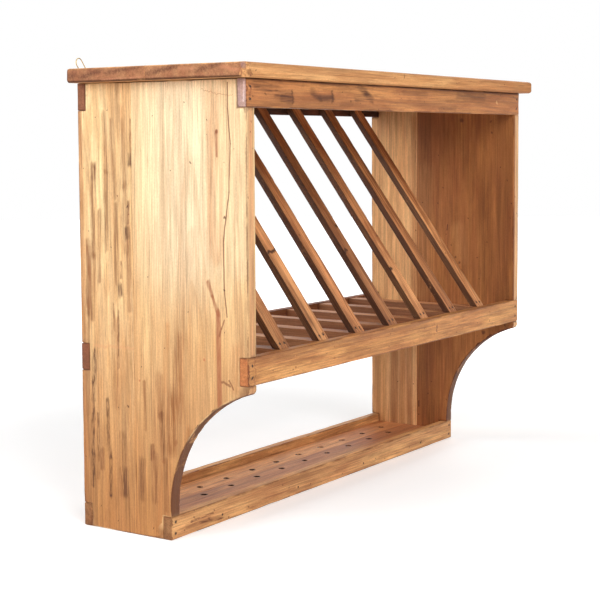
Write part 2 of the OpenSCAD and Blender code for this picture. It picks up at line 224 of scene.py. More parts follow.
def line(face: Face, places: tuple[tuple[float, float], ...], width: float,
         shade: Shade = STAIN, strength: float = 0.6, core: float = 0.2,
         broken: float = 0.0) -> Marks:
    """Returns the strokes of a bent line on a face.

    Args:
        face: the face.
        places: the line's corners.
        width: how far it reaches from its middle.
        shade: its colour.
        strength: how strong it is.
        core: the share of the width that has the full strength.
        broken: how far it breaks up into flecks.

    Returns:
        One mark for each stroke.
    """
    return tuple(Mark(face.at(*a), face.at(*b), width, shade, strength, core, broken)
                 for a, b in zip(places, places[1:]))


def strokes(face: Face, lines: tuple[tuple, ...]) -> Marks:
    """Returns the strokes of many bent lines on a face.

    Args:
        face: the face.
        lines: what line takes after the face, for each of them.

    Returns:
        The strokes of all of them.
    """
    return tuple(mark for given in lines for mark in line(face, *given))


@dataclass(frozen=True)
class Knot:
    """A knot, by its middle and its radius."""

    centre: Point
    radius: float


# ---- Materials ----


class Bench:
    """Adds nodes to one tree and joins them.

    Attributes:
        tree: the node tree of a material or of a group.
    """

    def __init__(self, tree: NodeTree) -> None:
        """Takes the tree to work in."""
        self.tree = tree

    def feed(self, socket: Socket, value: object) -> None:
        """Links an output to an input, or sets the input to a constant.

        Args:
            socket: the input.
            value: an output socket, a number, a vector or a colour.
        """
        if isinstance(value, Socket):
            self.tree.links.new(value, socket)
        else:
            socket.default_value = value

    def add(self, kind: str, settings: dict | None = None, **inputs: object) -> bpy.types.Node:
        """Adds a node.

        Args:
            kind: the node's type name.
            settings: properties of the node.
            **inputs: values of its inputs by name, with _ for a space.

        Returns:
            The node.
        """
        node = self.tree.nodes.new(kind)
        for name, value in (settings or {}).items():
            setattr(node, name, value)
        for name, value in inputs.items():
            self.feed(node.inputs[name.replace("_", " ")], value)
        return node

    def math(self, operation: str, *values: object, clamp: bool = False) -> Socket:
        """Returns the result of a Math node on up to three values.

        Args:
            operation: the node's operation.
            *values: its inputs.
            clamp: whether the result stays between 0 and 1.

        Returns:
            The result.
        """
        node = self.tree.nodes.new("ShaderNodeMath")
        node.operation, node.use_clamp = operation, clamp
        for socket, value in zip(node.inputs, values):
            self.feed(socket, value)
        return node.outputs[0]

    def vector(self, operation: str, *values: object) -> Socket:
        """Returns the result of a Vector Math node on up to three vectors.

        Args:
            operation: the node's operation.
            *values: its inputs.

        Returns:
            The result, a number or a vector.
        """
        node = self.tree.nodes.new("ShaderNodeVectorMath")
        node.operation = operation
        for socket, value in zip(node.inputs, values):
            self.feed(socket, value)
        single = operation in ("LENGTH", "DOT_PRODUCT", "DISTANCE")
        return node.outputs["Value" if single else "Vector"]

    def scaled(self, vector: object, factor: object) -> Socket:
        """Returns a vector times a number.

        Args:
            vector: the vector.
            factor: the number.

        Returns:
            The product.
        """
        node = self.add("ShaderNodeVectorMath", {"operation": "SCALE"}, Vector=vector)
        self.feed(node.inputs["Scale"], factor)
        return node.outputs["Vector"]

    def rise(self, value: object, low: object, high: object) -> Socket:
        """Rises smoothly from 0 to 1 between two bounds.

        Args:
            value: the value to look at.
            low: the bound up to which the result is 0.
            high: the bound from which it is 1.

        Returns:
            The result.
        """
        node = self.add("ShaderNodeMapRange", {"interpolation_type": "SMOOTHSTEP"}, Value=value)
        self.feed(node.inputs["From Min"], low)
        self.feed(node.inputs["From Max"], high)
        return node.outputs["Result"]

    def spread(self, value: object, low: float, high: float, bottom: float, top: float) -> Socket:
        """Maps a value from one range to another.

        Args:
            value: the value.
            low: the lower end of its range.
            high: the upper end of it.
            bottom: what the lower end becomes.
            top: what the upper end becomes.

        Returns:
            The mapped value.
        """
        node = self.add("ShaderNodeMapRange", Value=value)
        for socket, number in zip(list(node.inputs)[1:5], (low, high, bottom, top)):
            socket.default_value = number
        return node.outputs["Result"]

    def noise(self, place: object, stretch: Point, detail: float = 2.0, roughness: float = 0.5,
              colour: bool = False) -> Socket:
        """Makes noise.

        Args:
            place: where to read it.
            stretch: how many times a metre it varies along each axis.
            detail: how many finer layers it has.
            roughness: how strong those are.
            colour: whether it is three numbers instead of one.

        Returns:
            The noise.
        """
        at = self.vector("MULTIPLY", place, stretch)
        node = self.add("ShaderNodeTexNoise", Vector=at, Scale=1.0, Detail=detail,
                        Roughness=roughness)
        return node.outputs["Color" if colour else "Fac"]

    def mix(self, factor: object, low: object, high: object, blend: str = "MIX") -> Socket:
        """Returns a mix of two colours.

        Args:
            factor: the share of the second colour.
            low: the first colour.
            high: the second colour.
            blend: the way they are blended.

        Returns:
            The mix.
        """
        node = self.add("ShaderNodeMix", {"data_type": "RGBA", "blend_type": blend})
        for socket, value in zip((node.inputs[0], node.inputs[6], node.inputs[7]),
                                 (factor, low, high)):
            self.feed(socket, value)
        return node.outputs[2]

    def group(self, tree: NodeTree, **inputs: object) -> bpy.types.Node:
        """Adds a node group and sets its inputs by name.

        Args:
            tree: the group.
            **inputs: values of its inputs, with _ for a space.

        Returns:
            The node.
        """
        node = self.tree.nodes.new("ShaderNodeGroup")
        node.node_tree = tree
        for name, value in inputs.items():
            self.feed(node.inputs[name.replace("_", " ")], value)
        return node


def blank_material(name: str) -> tuple[bpy.types.Material, Bench]:
    """Makes a material without nodes.

    Args:
        name: the material's name.

    Returns:
        The material, and a bench for its nodes.
    """
    material = bpy.data.materials.new(name)
    material.use_nodes = True
    material.node_tree.nodes.clear()
    return material, Bench(material.node_tree)


class Kind(Enum):
    """The kinds of socket that a group has."""

    NUMBER = "NodeSocketFloat"
    VECTOR = "NodeSocketVector"


class Effect:
    """A node group while it is being built.

    Attributes:
        tree: the group's tree.
        bench: the bench for it.
        given: its inputs by name.
    """

    def __init__(self, name: str, numbers: tuple[str, ...], vectors: tuple[str, ...] = ("Place",)
                 ) -> None:
        """Makes the tree and its inputs.

        Args:
            name: the group's name.
            numbers: the names of the inputs that are numbers.
            vectors: the names of the inputs that are vectors.
        """
        self.tree = bpy.data.node_groups.new(name, "ShaderNodeTree")
        for kind, labels in ((Kind.VECTOR, vectors), (Kind.NUMBER, numbers)):
            for label in labels:
                self.tree.interface.new_socket(name=label, in_out="INPUT",
                                               socket_type=kind.value)
        self.bench = Bench(self.tree)
        start = self.tree.nodes.new("NodeGroupInput")
        self.given = {s.name: s for s in start.outputs if s.name}

    def close(self, vectors: tuple[str, ...] = (), **outputs: object) -> NodeTree:
        """Adds the outputs.

        Args:
            vectors: the names of the outputs that are vectors.
            **outputs: the sockets that feed the outputs.

        Returns:
            The finished group.
        """
        for label in outputs:
            kind = Kind.VECTOR if label in vectors else Kind.NUMBER
            self.tree.interface.new_socket(name=label, in_out="OUTPUT", socket_type=kind.value)
        end = self.tree.nodes.new("NodeGroupOutput")
        for label, value in outputs.items():
            self.bench.feed(end.inputs[label], value)
        return self.tree


def grain_group() -> NodeTree:
    """Builds the growth rings, fibres and flecks of pine, solid through the board.

    Returns:
        The group. Its Place has the fibres along the X axis.
    """
    effect = Effect("Pine Grain", ("Seed", "Spacing", "Taper", "Bulge"), ("Place", "Pith"))
    bench, given = effect.bench, effect.given
    seed = given["Seed"]
    shift = bench.add("ShaderNodeCombineXYZ", X=seed, Y=bench.math("MULTIPLY", seed, 0.37),
                      Z=bench.math("MULTIPLY", seed, 0.71)).outputs[0]
    place = bench.vector("ADD", given["Place"], shift)

    from_pith = bench.vector("SUBTRACT", given["Place"], given["Pith"])
    slow = bench.math("SUBTRACT", bench.noise(place, (1.6, 9.0, 9.0), 1.0), 0.5)
    quick = bench.math("SUBTRACT", bench.noise(place, (7.0, 50.0, 50.0), 2.0), 0.5)
    radius = bench.vector("LENGTH", bench.vector("MULTIPLY", from_pith, (0.0, 1.0, 1.0)))
    radius = bench.math("MULTIPLY_ADD", slow, 0.036, radius)
    radius = bench.math("MULTIPLY_ADD", quick, 0.0045, radius)
    along = bench.add("ShaderNodeSeparateXYZ", Vector=from_pith).outputs[0]
    radius = bench.math("MULTIPLY_ADD", along, given["Taper"], radius)
    turns = bench.math("DIVIDE", bench.math("ADD", radius, given["Bulge"]), given["Spacing"])
    part = bench.math("FRACT", turns)
    year = bench.add("ShaderNodeTexWhiteNoise", {"noise_dimensions": "1D"},
                     W=bench.math("FLOOR", turns)).outputs["Value"]
    late = bench.math("MULTIPLY", bench.rise(part, 0.1, 0.85),
                      bench.math("SUBTRACT", 1.0, bench.rise(part, 0.88, 1.0)))
    growth = bench.math("MULTIPLY", late, bench.math("MULTIPLY_ADD", year, 0.8, 0.2))

    fibre = bench.noise(place, (9.0, 640.0, 640.0), 3.0, 0.6)
    streak = bench.math("MULTIPLY",
                        bench.rise(bench.noise(place, (2.1, 74.0, 74.0), 4.0, 0.65), 0.50, 0.63),
                        bench.rise(bench.noise(place, (2.6, 13.0, 13.0)), 0.40, 0.58))
    band = bench.rise(bench.noise(place, (0.9, 30.0, 30.0), 2.0), 0.47, 0.62)
    cloud = bench.rise(bench.noise(place, (3.4, 15.0, 15.0), 3.0, 0.55), 0.38, 0.62)
    patch = bench.rise(bench.noise(place, (10.0, 62.0, 62.0), 4.0, 0.6), 0.43, 0.60)
    ruddy = bench.rise(bench.noise(bench.vector("ADD", place, (0.3, 0.7, 0.2)),
                                   (6.0, 42.0, 42.0), 3.0, 0.55), 0.42, 0.62)
    brush = bench.rise(bench.noise(place, (17.0, 330.0, 330.0), 4.0, 0.65), 0.41, 0.59)
    mottle = bench.noise(place, (9.0, 190.0, 190.0), 4.0, 0.6)
    fleck = bench.rise(bench.noise(place, (30.0, 720.0, 720.0), 2.0), 0.56, 0.68)
    dash = bench.rise(bench.noise(place, (62.0, 430.0, 430.0), 3.0, 0.6), 0.42, 0.60)
    stipple = bench.noise(place, (330.0, 640.0, 640.0), 2.0, 0.6)
    cells = bench.add("ShaderNodeTexVoronoi", Scale=1.0,
                      Vector=bench.vector("MULTIPLY", place, (48.0, 62.0, 62.0)))
    lucky = bench.add("ShaderNodeSeparateColor", Color=cells.outputs["Color"])
    size = bench.math("MULTIPLY_ADD", lucky.outputs[1], 0.05, 0.016)
    speck = bench.math("MULTIPLY", bench.math("GREATER_THAN", lucky.outputs[0], 0.90),
                       bench.math("SUBTRACT", 1.0, bench.rise(
                           cells.outputs["Distance"], bench.math("MULTIPLY", size, 0.6), size)))
    wander = bench.vector("MULTIPLY", bench.vector(
        "SUBTRACT", bench.noise(place, (18.0, 95.0, 95.0), 3.0, 0.6, colour=True),
        (0.5, 0.5, 0.5)), (0.018, 0.003, 0.0))
    height = bench.math("MULTIPLY_ADD", growth, 0.5, fibre)
    height = bench.math("MULTIPLY_ADD", fleck, -0.5, height)
    height = bench.math("MULTIPLY_ADD", speck, -2.0, height)
    return effect.close(("Wander",), Growth=growth, Fibre=fibre, Streak=streak, Band=band,
                        Cloud=cloud, Patch=patch, Ruddy=ruddy, Brush=brush, Mottle=mottle,
                        Fleck=fleck, Dash=dash, Stipple=stipple, Speck=speck,
                        Wander=wander, Height=height)


def knot_group() -> NodeTree:
    """Builds a knot that goes through the board along the Z axis of its Place.

    Returns:
        The group.
    """
    effect = Effect("Pine Knot", ("Radius",), ("Place", "Centre"))
    bench, given = effect.bench, effect.given
    away = bench.vector("MULTIPLY", bench.vector("SUBTRACT", given["Place"], given["Centre"]),
                        (0.72, 1.0, 0.0))
    share = bench.math("DIVIDE", bench.vector("LENGTH", away), given["Radius"])
    ripple = bench.math("SUBTRACT", bench.noise(given["Place"], (280.0, 280.0, 280.0)), 0.5)
    share = bench.math("MULTIPLY_ADD", ripple, 0.7, share)
    heart = bench.math("SUBTRACT", 1.0, bench.rise(share, 0.75, 1.1))
    rim = bench.math("SUBTRACT", 1.0, bench.rise(
        bench.math("ABSOLUTE", bench.math("SUBTRACT", share, 1.0)), 0.05, 0.55))
    reach = bench.math("EXPONENT", bench.math("MULTIPLY", bench.math("POWER", share, 2.0), -0.16))
    bulge = bench.math("MULTIPLY", reach, bench.math("MULTIPLY", given["Radius"], 0.9))
    return effect.close(Heart=heart, Rim=rim, Bulge=bulge)


def dot_group() -> NodeTree:
    """Builds the mask of a dot, for worm holes, nail rust and small smudges.

    Returns:
        The group.
    """
    effect = Effect("Dot", ("Width", "Core"), ("Place", "Centre"))
    bench, given = effect.bench, effect.given
    near = bench.rise(bench.vector("DISTANCE", given["Place"], given["Centre"]),
                      bench.math("MULTIPLY", given["Width"], given["Core"]), given["Width"])
    return effect.close(Mask=bench.math("SUBTRACT", 1.0, near))


def stroke_group() -> NodeTree:
    """Builds the mask of a straight stroke, for stains, cracks and scratches.

    Returns:
        The group.
    """
    effect = Effect("Stroke", ("Width", "Core", "Broken", "Fleck"), ("Place", "From", "To"))
    bench, given = effect.bench, effect.given
    along = bench.vector("SUBTRACT", given["To"], given["From"])
    away = bench.vector("SUBTRACT", given["Place"], given["From"])
    share = bench.math("DIVIDE", bench.vector("DOT_PRODUCT", away, along),
                       bench.vector("DOT_PRODUCT", along, along), clamp=True)
    off = bench.vector("SUBTRACT", away, bench.scaled(along, share))
    distance = bench.vector("LENGTH", bench.vector("MULTIPLY", off, (1.0, 1.0, 2.0)))
    near = bench.math("SUBTRACT", 1.0, bench.rise(
        distance, bench.math("MULTIPLY", given["Width"], given["Core"]), given["Width"]))
    gaps = bench.math("MULTIPLY", given["Broken"], bench.math("SUBTRACT", 1.0, given["Fleck"]))
    return effect.close(Mask=bench.math("MULTIPLY", near, bench.math("SUBTRACT", 1.0, gaps)))


def wear_group() -> NodeTree:
    """Builds the wear along a board's arrises from its distance to them.

    Returns:
        The group.
    """
    effect = Effect("Worn Arris", ("Distance", "Width"))
    bench, given = effect.bench, effect.given
    patch = bench.noise(given["Place"], (24.0, 24.0, 24.0))
    fine = bench.noise(given["Place"], (230.0, 230.0, 230.0))
    reach = bench.math("ADD", bench.math("MULTIPLY_ADD", patch, 1.6, -0.45),
                       bench.math("MULTIPLY_ADD", fine, 1.0, -0.1))
    width = bench.math("MULTIPLY", given["Width"], reach)
    near = bench.math("SUBTRACT", 1.0, bench.rise(
        given["Distance"], bench.math("MULTIPLY", width, 0.3), width))
    dirty = bench.rise(bench.noise(given["Place"], (13.0, 13.0, 13.0), 3.0), 0.38, 0.52)
    clean = bench.math("SUBTRACT", 1.0, dirty)
    return effect.close(Rubbed=bench.math("MULTIPLY", near, clean),
                        Grime=bench.math("MULTIPLY", near, dirty))


@dataclass(frozen=True)
class Groups:
    """The effects that the materials share."""

    grain: NodeTree
    knot: NodeTree
    dot: NodeTree
    stroke: NodeTree
    wear: NodeTree


class Grain(Enum):
    """The way a board lies: the directions of its fibres, its width and its best face."""

    ACROSS = ((1, 0, 0), (0, 1, 0), (0, 0, 1))
    RAIL = ((1, 0, 0), (0, 0, 1), (0, -1, 0))
    UPRIGHT = ((0, 0, 1), (0, 1, 0), (-1, 0, 0))
    DEEP = ((0, 1, 0), (-1, 0, 0), (0, 0, 1))
    LEANING = ((0, math.sin(SLAT_LEAN), math.cos(SLAT_LEAN)), (-1, 0, 0),
               (0, -math.cos(SLAT_LEAN), math.sin(SLAT_LEAN)))

    def turn(self) -> Matrix:
        """Returns the rotation from the rack's frame to the board's own directions."""
        return Matrix([Vector(axis) for axis in self.value])


@dataclass(frozen=True)
class Tree:
    """Where in its tree a board was sawn.

    Attributes:
        grain: the way the board lies.
        seed: picks the pattern.
        pith: a point on the tree's middle line, in the rack's frame.
        taper: how fast the rings run out of the board's face.
    """

    grain: Grain
    seed: float
    pith: Point
    taper: float = 0.02


@dataclass(frozen=True)
class Pine:
    """A finish of old waxed pine.

    Attributes:
        light: the colour of the early wood.
        deep: the colour of darker patches.
        late: the colour of the late wood lines.
        stain: the colour of long streaks.
        end: the colour that end grain is drawn towards.
        growth: how strongly the late wood shows.
        band: how strongly broad bands show.
        streak: how strongly narrow streaks show.
        fleck: how strongly the short dark flecks show.
        cloud: how much of the deep colour is mixed in, in wide patches.
        patch: how much of it is mixed in, in small ones.
        ruddy: how much redder some places are.
        flank_shade: how strongly the stain colour darkens the board's sides, as painted shade.
        worn: how far the wear reaches from an arris.
        spacing: the distance between two growth rings.
        gloss: the roughness of the wax where it is smoothest.
    """

    light: Shade
    deep: Shade
    late: Shade
    stain: Shade
    end: Shade = (120, 72, 50)
    growth: float = 0.3
    band: float = 0.35
    streak: float = 0.6
    fleck: float = 0.3
    cloud: float = 0.4
    patch: float = 0.5
    ruddy: float = 0.2
    flank_shade: float = 0.0
    worn: float = 3.4
    spacing: float = 4.2
    gloss: float = 0.42

    def dress(self, groups: Groups, name: str, tree: Tree, tones: Marks,
              marks: Marks, knots: tuple[Knot, ...]) -> bpy.types.Material:
        """Makes the material of one board.

        Args:
            groups: the shared effects.
            name: the material's name.
            tree: where in its tree the board was sawn.
            tones: broad marks that lie under the grain's lines.
            marks: dots and strokes, in the order in which they are laid on.
            knots: the board's knots.

        Returns:
            The material.
        """
        material, bench = blank_material(name)
        turn = tree.grain.turn()
        coordinates = bench.add("ShaderNodeTexCoord")
        mapping = bench.add("ShaderNodeMapping", Vector=coordinates.outputs["Object"])
        mapping.inputs["Rotation"].default_value = turn.to_euler()
        place = mapping.outputs["Vector"]

        spots = [bench.group(groups.knot, Place=place, Radius=knot.radius * MM,
                             Centre=turn @ (Vector(knot.centre) * MM)) for knot in knots]
        bulge: object = 0.0
        for spot in spots:
            bulge = bench.math("ADD", bulge, spot.outputs["Bulge"])
        wood = bench.group(groups.grain, Place=place, Seed=tree.seed, Taper=tree.taper,
                           Pith=turn @ (Vector(tree.pith) * MM), Spacing=self.spacing * MM,
                           Bulge=bulge).outputs
        ended, shaded_sides = (bench.rise(bench.math("ABSOLUTE", bench.vector(
            "DOT_PRODUCT", coordinates.outputs["Normal"], turn.row[i][:])), 0.55, 0.85)
            for i in (0, 1))
        touched = bench.vector("ADD", place, wood["Wander"])

        colour: object = linear(self.light)
        for output, share in (("Cloud", self.cloud), ("Patch", self.patch)):
            colour = bench.mix(bench.math("MULTIPLY", wood[output], share), colour,
                               linear(self.deep))
        for tone in tones:
            colour = self.paint(bench, groups, turn, place if tone.ruled else touched,
                                wood["Brush"], colour, tone)
        colour = self.figure(bench, wood, colour, ended, shaded_sides)
        for mark in marks:
            rough = wood["Brush" if mark.width > BROAD else "Dash"]
            colour = self.paint(bench, groups, turn, place if mark.ruled else touched, rough,
                                colour, mark)
        for spot in spots:
            colour = bench.mix(bench.math("MULTIPLY", spot.outputs["Heart"], 0.75),
                               colour, linear(KNOT_HEART))
            colour = bench.mix(bench.math("MULTIPLY", spot.outputs["Rim"], 0.8),
                               colour, linear(KNOT_RIM))
        near = bench.add("ShaderNodeAttribute", {"attribute_name": "arris"}).outputs["Fac"]
        worn = bench.group(groups.wear, Place=place, Distance=near,
                           Width=self.worn * MM).outputs
        colour = bench.mix(bench.math("MULTIPLY", worn["Rubbed"], 0.45), colour,
                           linear(self.light))
        colour = bench.mix(bench.math("MULTIPLY", worn["Grime"], 0.6), colour, linear(GRIME))

        rough = bench.spread(wood["Growth"], 0.0, 1.0, self.gloss + 0.12, self.gloss)
        rough = bench.math("MULTIPLY_ADD", ended, 0.15, rough)
        bump = bench.add("ShaderNodeBump", Height=wood["Height"], Strength=0.4, Distance=0.0006)
        surface = bench.add("ShaderNodeBsdfPrincipled", Base_Color=colour, Roughness=rough,
                            Specular_IOR_Level=0.22, Normal=bump.outputs["Normal"])
        bench.add("ShaderNodeOutputMaterial", Surface=surface.outputs[0])
        return material

    def figure(self, bench: Bench, wood: bpy.types.NodeOutputs, colour: object, ended: Socket,
               shaded_sides: Socket) -> Socket:
        """Lays the grain's lines, streaks, fibres and flecks over a colour, with painted shade on
        the board's sides.

        Args:
            bench: the material's bench.
            wood: the outputs of the grain.
            colour: the colour so far.
            ended: 1 on end grain.
            shaded_sides: 1 on the board's sides, which get painted shade.

        Returns:
            The colour.
        """
        for name, share, shade in (
                ("Ruddy", self.ruddy, RUDDY), ("Growth", self.growth, self.late),
                ("Band", self.band, self.stain), ("Streak", self.streak, self.stain)):
            colour = bench.mix(bench.math("MULTIPLY", wood[name], share), colour, linear(shade))
        # Painted shade: the board's sides darkened towards the stain colour
        if self.flank_shade:
            colour = bench.mix(bench.math("MULTIPLY", shaded_sides, self.flank_shade), colour,
                               linear(self.stain))
        colour = bench.mix(bench.math("MULTIPLY", ended, 0.68), colour, linear(self.end))
        shading = bench.math("MULTIPLY", bench.spread(wood["Fibre"], 0.38, 0.62, 0.84, 1.10),
                             bench.spread(wood["Mottle"], 0.36, 0.64, 0.86, 1.11))
        shading = bench.math("MULTIPLY", shading,
                             bench.spread(wood["Stipple"], 0.35, 0.65, 0.92, 1.07))
        tint = bench.add("ShaderNodeCombineColor", Red=shading, Green=shading, Blue=shading)
        colour = bench.mix(1.0, colour, tint.outputs[0], "MULTIPLY")
        flat = bench.math("SUBTRACT", 1.0, ended)
        flecks = bench.math("MULTIPLY", wood["Fleck"], flat)
        colour = bench.mix(bench.math("MULTIPLY", flecks, self.fleck), colour, linear(FLECK))
        return bench.mix(bench.math("MULTIPLY", wood["Speck"], 0.8), colour, linear(WORM))

    @staticmethod
    def paint(bench: Bench, groups: Groups, turn: Matrix, place: Socket, rough: Socket,
              colour: object, mark: Mark) -> Socket:
        """Lays one mark over a colour.

        Args:
            bench: the material's bench.
            groups: the shared effects.
            turn: the rotation to the board's own directions.
            place: the place in those directions.
            rough: the pattern that breaks the mark up.
            colour: the colour so far.
            mark: the mark.

        Returns:
            The colour with the mark.
        """
        start = turn @ (Vector(mark.start) * MM)
        if mark.stop is None:
            laid = bench.group(groups.dot, Place=place, Centre=start, Width=mark.width * MM,
                               Core=mark.core)
        else:
            laid = bench.group(groups.stroke, Place=place, From=start, Core=mark.core,
                               To=turn @ (Vector(mark.stop) * MM), Width=mark.width * MM,
                               Broken=mark.broken, Fleck=rough)
        return bench.mix(bench.math("MULTIPLY", laid.outputs["Mask"], mark.strength), colour,
                         linear(mark.shade))


@dataclass(frozen=True)
class Metal:
    """A metal with rust or tarnish.

    Attributes:
        bright: the colour where it is rubbed.
        dull: the colour of the rust or tarnish.
        metallic: how metallic the rubbed places are.
        roughness: the roughness of rubbed and of dull places.
    """

    bright: Shade
    dull: Shade
    metallic: float
    roughness: tuple[float, float]

    def dress(self, name: str) -> bpy.types.Material:
        """Makes the material.

        Args:
            name: the material's name.

        Returns:
            The material.
        """
        material, bench = blank_material(name)
        place = bench.add("ShaderNodeTexCoord").outputs["Object"]
        patch = bench.rise(bench.noise(place, (420.0, 420.0, 420.0), 4.0, 0.6), 0.40, 0.64)
        grit = bench.noise(place, (2600.0, 2600.0, 2600.0))
        colour = bench.mix(patch, linear(self.bright), linear(self.dull))
        rough = bench.spread(patch, 0.0, 1.0, *self.roughness)
        metallic = bench.math("MULTIPLY", bench.math("SUBTRACT", 1.0, patch), self.metallic)
        bump = bench.add("ShaderNodeBump", Height=bench.math("MULTIPLY_ADD", patch, 0.6, grit),
                         Strength=0.4, Distance=0.0002)
        surface = bench.add("ShaderNodeBsdfPrincipled", Base_Color=colour, Roughness=rough,
                            Metallic=metallic, Normal=bump.outputs["Normal"])
        bench.add("ShaderNodeOutputMaterial", Surface=surface.outputs[0])
        return material


# ---- Nails ----


@dataclass(frozen=True)
class Nail:
    """A nail or a screw, as the hole that it stands in.

    Attributes:
        mouth: where it goes into the wood.
        inward: its direction.
        length: its length.
        head_r: the radius of the recess for its head.
        head_depth: the depth of that recess.
        shank_r: the radius of its bore.
        rust: how strongly rust has stained the wood around it.
    """

    mouth: Point
    inward: Point
    length: float
    head_r: float = 1.95
    head_depth: float = 1.65
    shank_r: float = 1.15
    rust: float = 0.65

    def meets(self, low: Vector, high: Vector) -> bool:
        """Tells whether the nail enters a box.

        Args:
            low: the box's lowest corner.
            high: its highest corner.

        Returns:
            True where its line passes through the box.
        """
        aim, steps = Vector(self.inward).normalized(), 20
        for step in range(steps + 1):
            at = Vector(self.mouth) + aim * self.length * step / steps
            if all(low[i] - 0.2 <= at[i] <= high[i] + 0.2 for i in range(3)):
                return True
        return False

    def cut(self, bm: BMesh) -> None:
        """Adds the hole's solid: a recess for the head, and a bore from its floor.

        Args:
            bm: the mesh that the holes are gathered in.
        """
        verts = bmesh.ops.create_cone(bm, cap_ends=True, segments=16, radius1=self.head_r,
                                      radius2=self.head_r, depth=self.head_depth + 1.2)["verts"]
        bmesh.ops.translate(bm, vec=(0, 0, (self.head_depth - 1.2) / 2), verts=verts)
        floor = [f for f in {f for v in verts for f in v.link_faces}
                 if all(abs(v.co.z - self.head_depth) < 1e-3 for v in f.verts)]
        bmesh.ops.inset_individual(bm, faces=floor, thickness=self.head_r - self.shank_r)
        end = bmesh.ops.extrude_discrete_faces(bm, faces=floor)["faces"]
        bmesh.ops.translate(bm, vec=(0, 0, self.length + 0.45 - self.head_depth),
                            verts=list({v for f in end for v in f.verts}))
        shell = island(verts[0])
        turn = Vector(self.inward).to_track_quat("Z", "Y").to_matrix().to_4x4()
        bmesh.ops.transform(bm, matrix=Matrix.Translation(self.mouth) @ turn, verts=shell)


def island(start: bmesh.types.BMVert) -> list[bmesh.types.BMVert]:
    """Returns every vertex that edges join to one vertex.

    Args:
        start: the vertex.

    Returns:
        The vertices.
    """
    found, queue = {start}, [start]
    while queue:
        for edge in queue.pop().link_edges:
            for vert in edge.verts:
                if vert not in found:
                    found.add(vert)
                    queue.append(vert)
    return list(found)


def rack_nails() -> tuple[Nail, ...]:
    """Returns every nail and screw of the rack."""
    inward, outward, down = (0, 1, 0), (0, -1, 0), (0, 0, -1)
    low, middle, top = ((bottom + upper) / 2 for bottom, upper in RAIL_LEVELS)
    apart = 9.0  # from a pair of nails to its middle
    nails = []
    for x in (-PANEL_X, PANEL_X):
        for y, z in ((FRONT_Y, top), (FRONT_Y, middle), (FOOT_Y, low)):
            nails += [Nail((x, y, z + up), inward, RAIL_NAIL) for up in (-apart, apart)]
        for z in (top - apart, middle - apart, middle + apart, low - apart, low + apart):
            nails.append(Nail((x, BACK_Y, z), outward, RAIL_NAIL))
        nails += [Nail((x, y, TOP_Z), down, RAIL_NAIL) for y in TOP_NAIL_YS]
        # the screw of a hanging loop
        nails.append(Nail((x, BACK_Y - 3.6, RACK_H - 16.0), outward, 25.0, 1.8, 1.0, 1.79))
    return tuple(nails) + slat_nails() + tuple(
        nail for x in TRAY_NAIL_XS
        for nail in (Nail((x, FOOT_Y, TRAY_NAIL_Z), inward, RAIL_NAIL, rust=0.2),
                     Nail((x, BACK_Y, TRAY_NAIL_Z), outward, RAIL_NAIL)))


def slat_nails() -> tuple[Nail, ...]:
    """Returns the nails of the plate slats and of the base slats."""
    sine, cosine = math.sin(SLAT_LEAN), math.cos(SLAT_LEAN)
    foot_up = 10.0  # how far up its slat a foot nail stands
    foot_y, foot_z = SLAT_FOOT_Y + foot_up * sine, BASE_TOP_Z + foot_up * cosine
    head_z = SLAT_HEAD_Z - SLAT_T / 2 / sine
    head_y = SLAT_FOOT_Y + (head_z - BASE_TOP_Z) * sine / cosine
    nails = []
    for middle in SLAT_XS:
        for x in (middle - 6.0, middle + 6.0):
            nails.append(Nail((x, foot_y, foot_z), (0, cosine, -sine), FOOT_NAIL))
            nails.append(Nail((x, head_y, head_z), (0, 1, 0), HEAD_NAIL))
        for z in (262.0, 280.0):
            nails.append(Nail((middle, FRONT_Y, z), (0, 1, 0), RAIL_NAIL, rust=0.0))
            nails.append(Nail((middle, BACK_Y, z), (0, -1, 0), RAIL_NAIL))
    return tuple(nails)


# ---- Mesh helpers ----


def add_box(bm: BMesh, low: Point | Vector, high: Point | Vector) -> None:
    """Adds a box.

    Args:
        bm: the mesh.
        low: the box's lowest corner.
        high: its highest corner.
    """
    verts = bmesh.ops.create_cube(bm, size=1.0)["verts"]
    bmesh.ops.scale(bm, vec=Vector(high) - Vector(low), verts=verts)
    bmesh.ops.translate(bm, vec=(Vector(low) + Vector(high)) / 2, verts=verts)


def widen(bm: BMesh, outline: list[bmesh.types.BMVert], width: float) -> None:
    """Fills an outline and extrudes it across the rack.

    Args:
        bm: the mesh.
        outline: the outline's vertices in order.
        width: how far it is extruded.
    """
    face = bm.faces.new(outline)
    grown = bmesh.ops.extrude_face_region(bm, geom=[face], use_keep_orig=True)["geom"]
    bmesh.ops.translate(bm, vec=(width, 0, 0),
                        verts=[e for e in grown if isinstance(e, bmesh.types.BMVert)])


def at_both_ends(across: tuple[float, float], deep: tuple[float, float],
                 up: tuple[float, float]) -> Boxes:
    """Returns the corners of a box at the left end of the rack and of its like at the right.

    Args:
        across: how far from the middle of the rack it begins and ends.
        deep: where it begins and ends along Y.
        up: its lower and upper levels.

    Returns:
        The low and high corners of both boxes.
    """
    near, far = across
    return (((-far, deep[0], up[0]), (-near, deep[1], up[1])),
            ((near, deep[0], up[0]), (far, deep[1], up[1])))


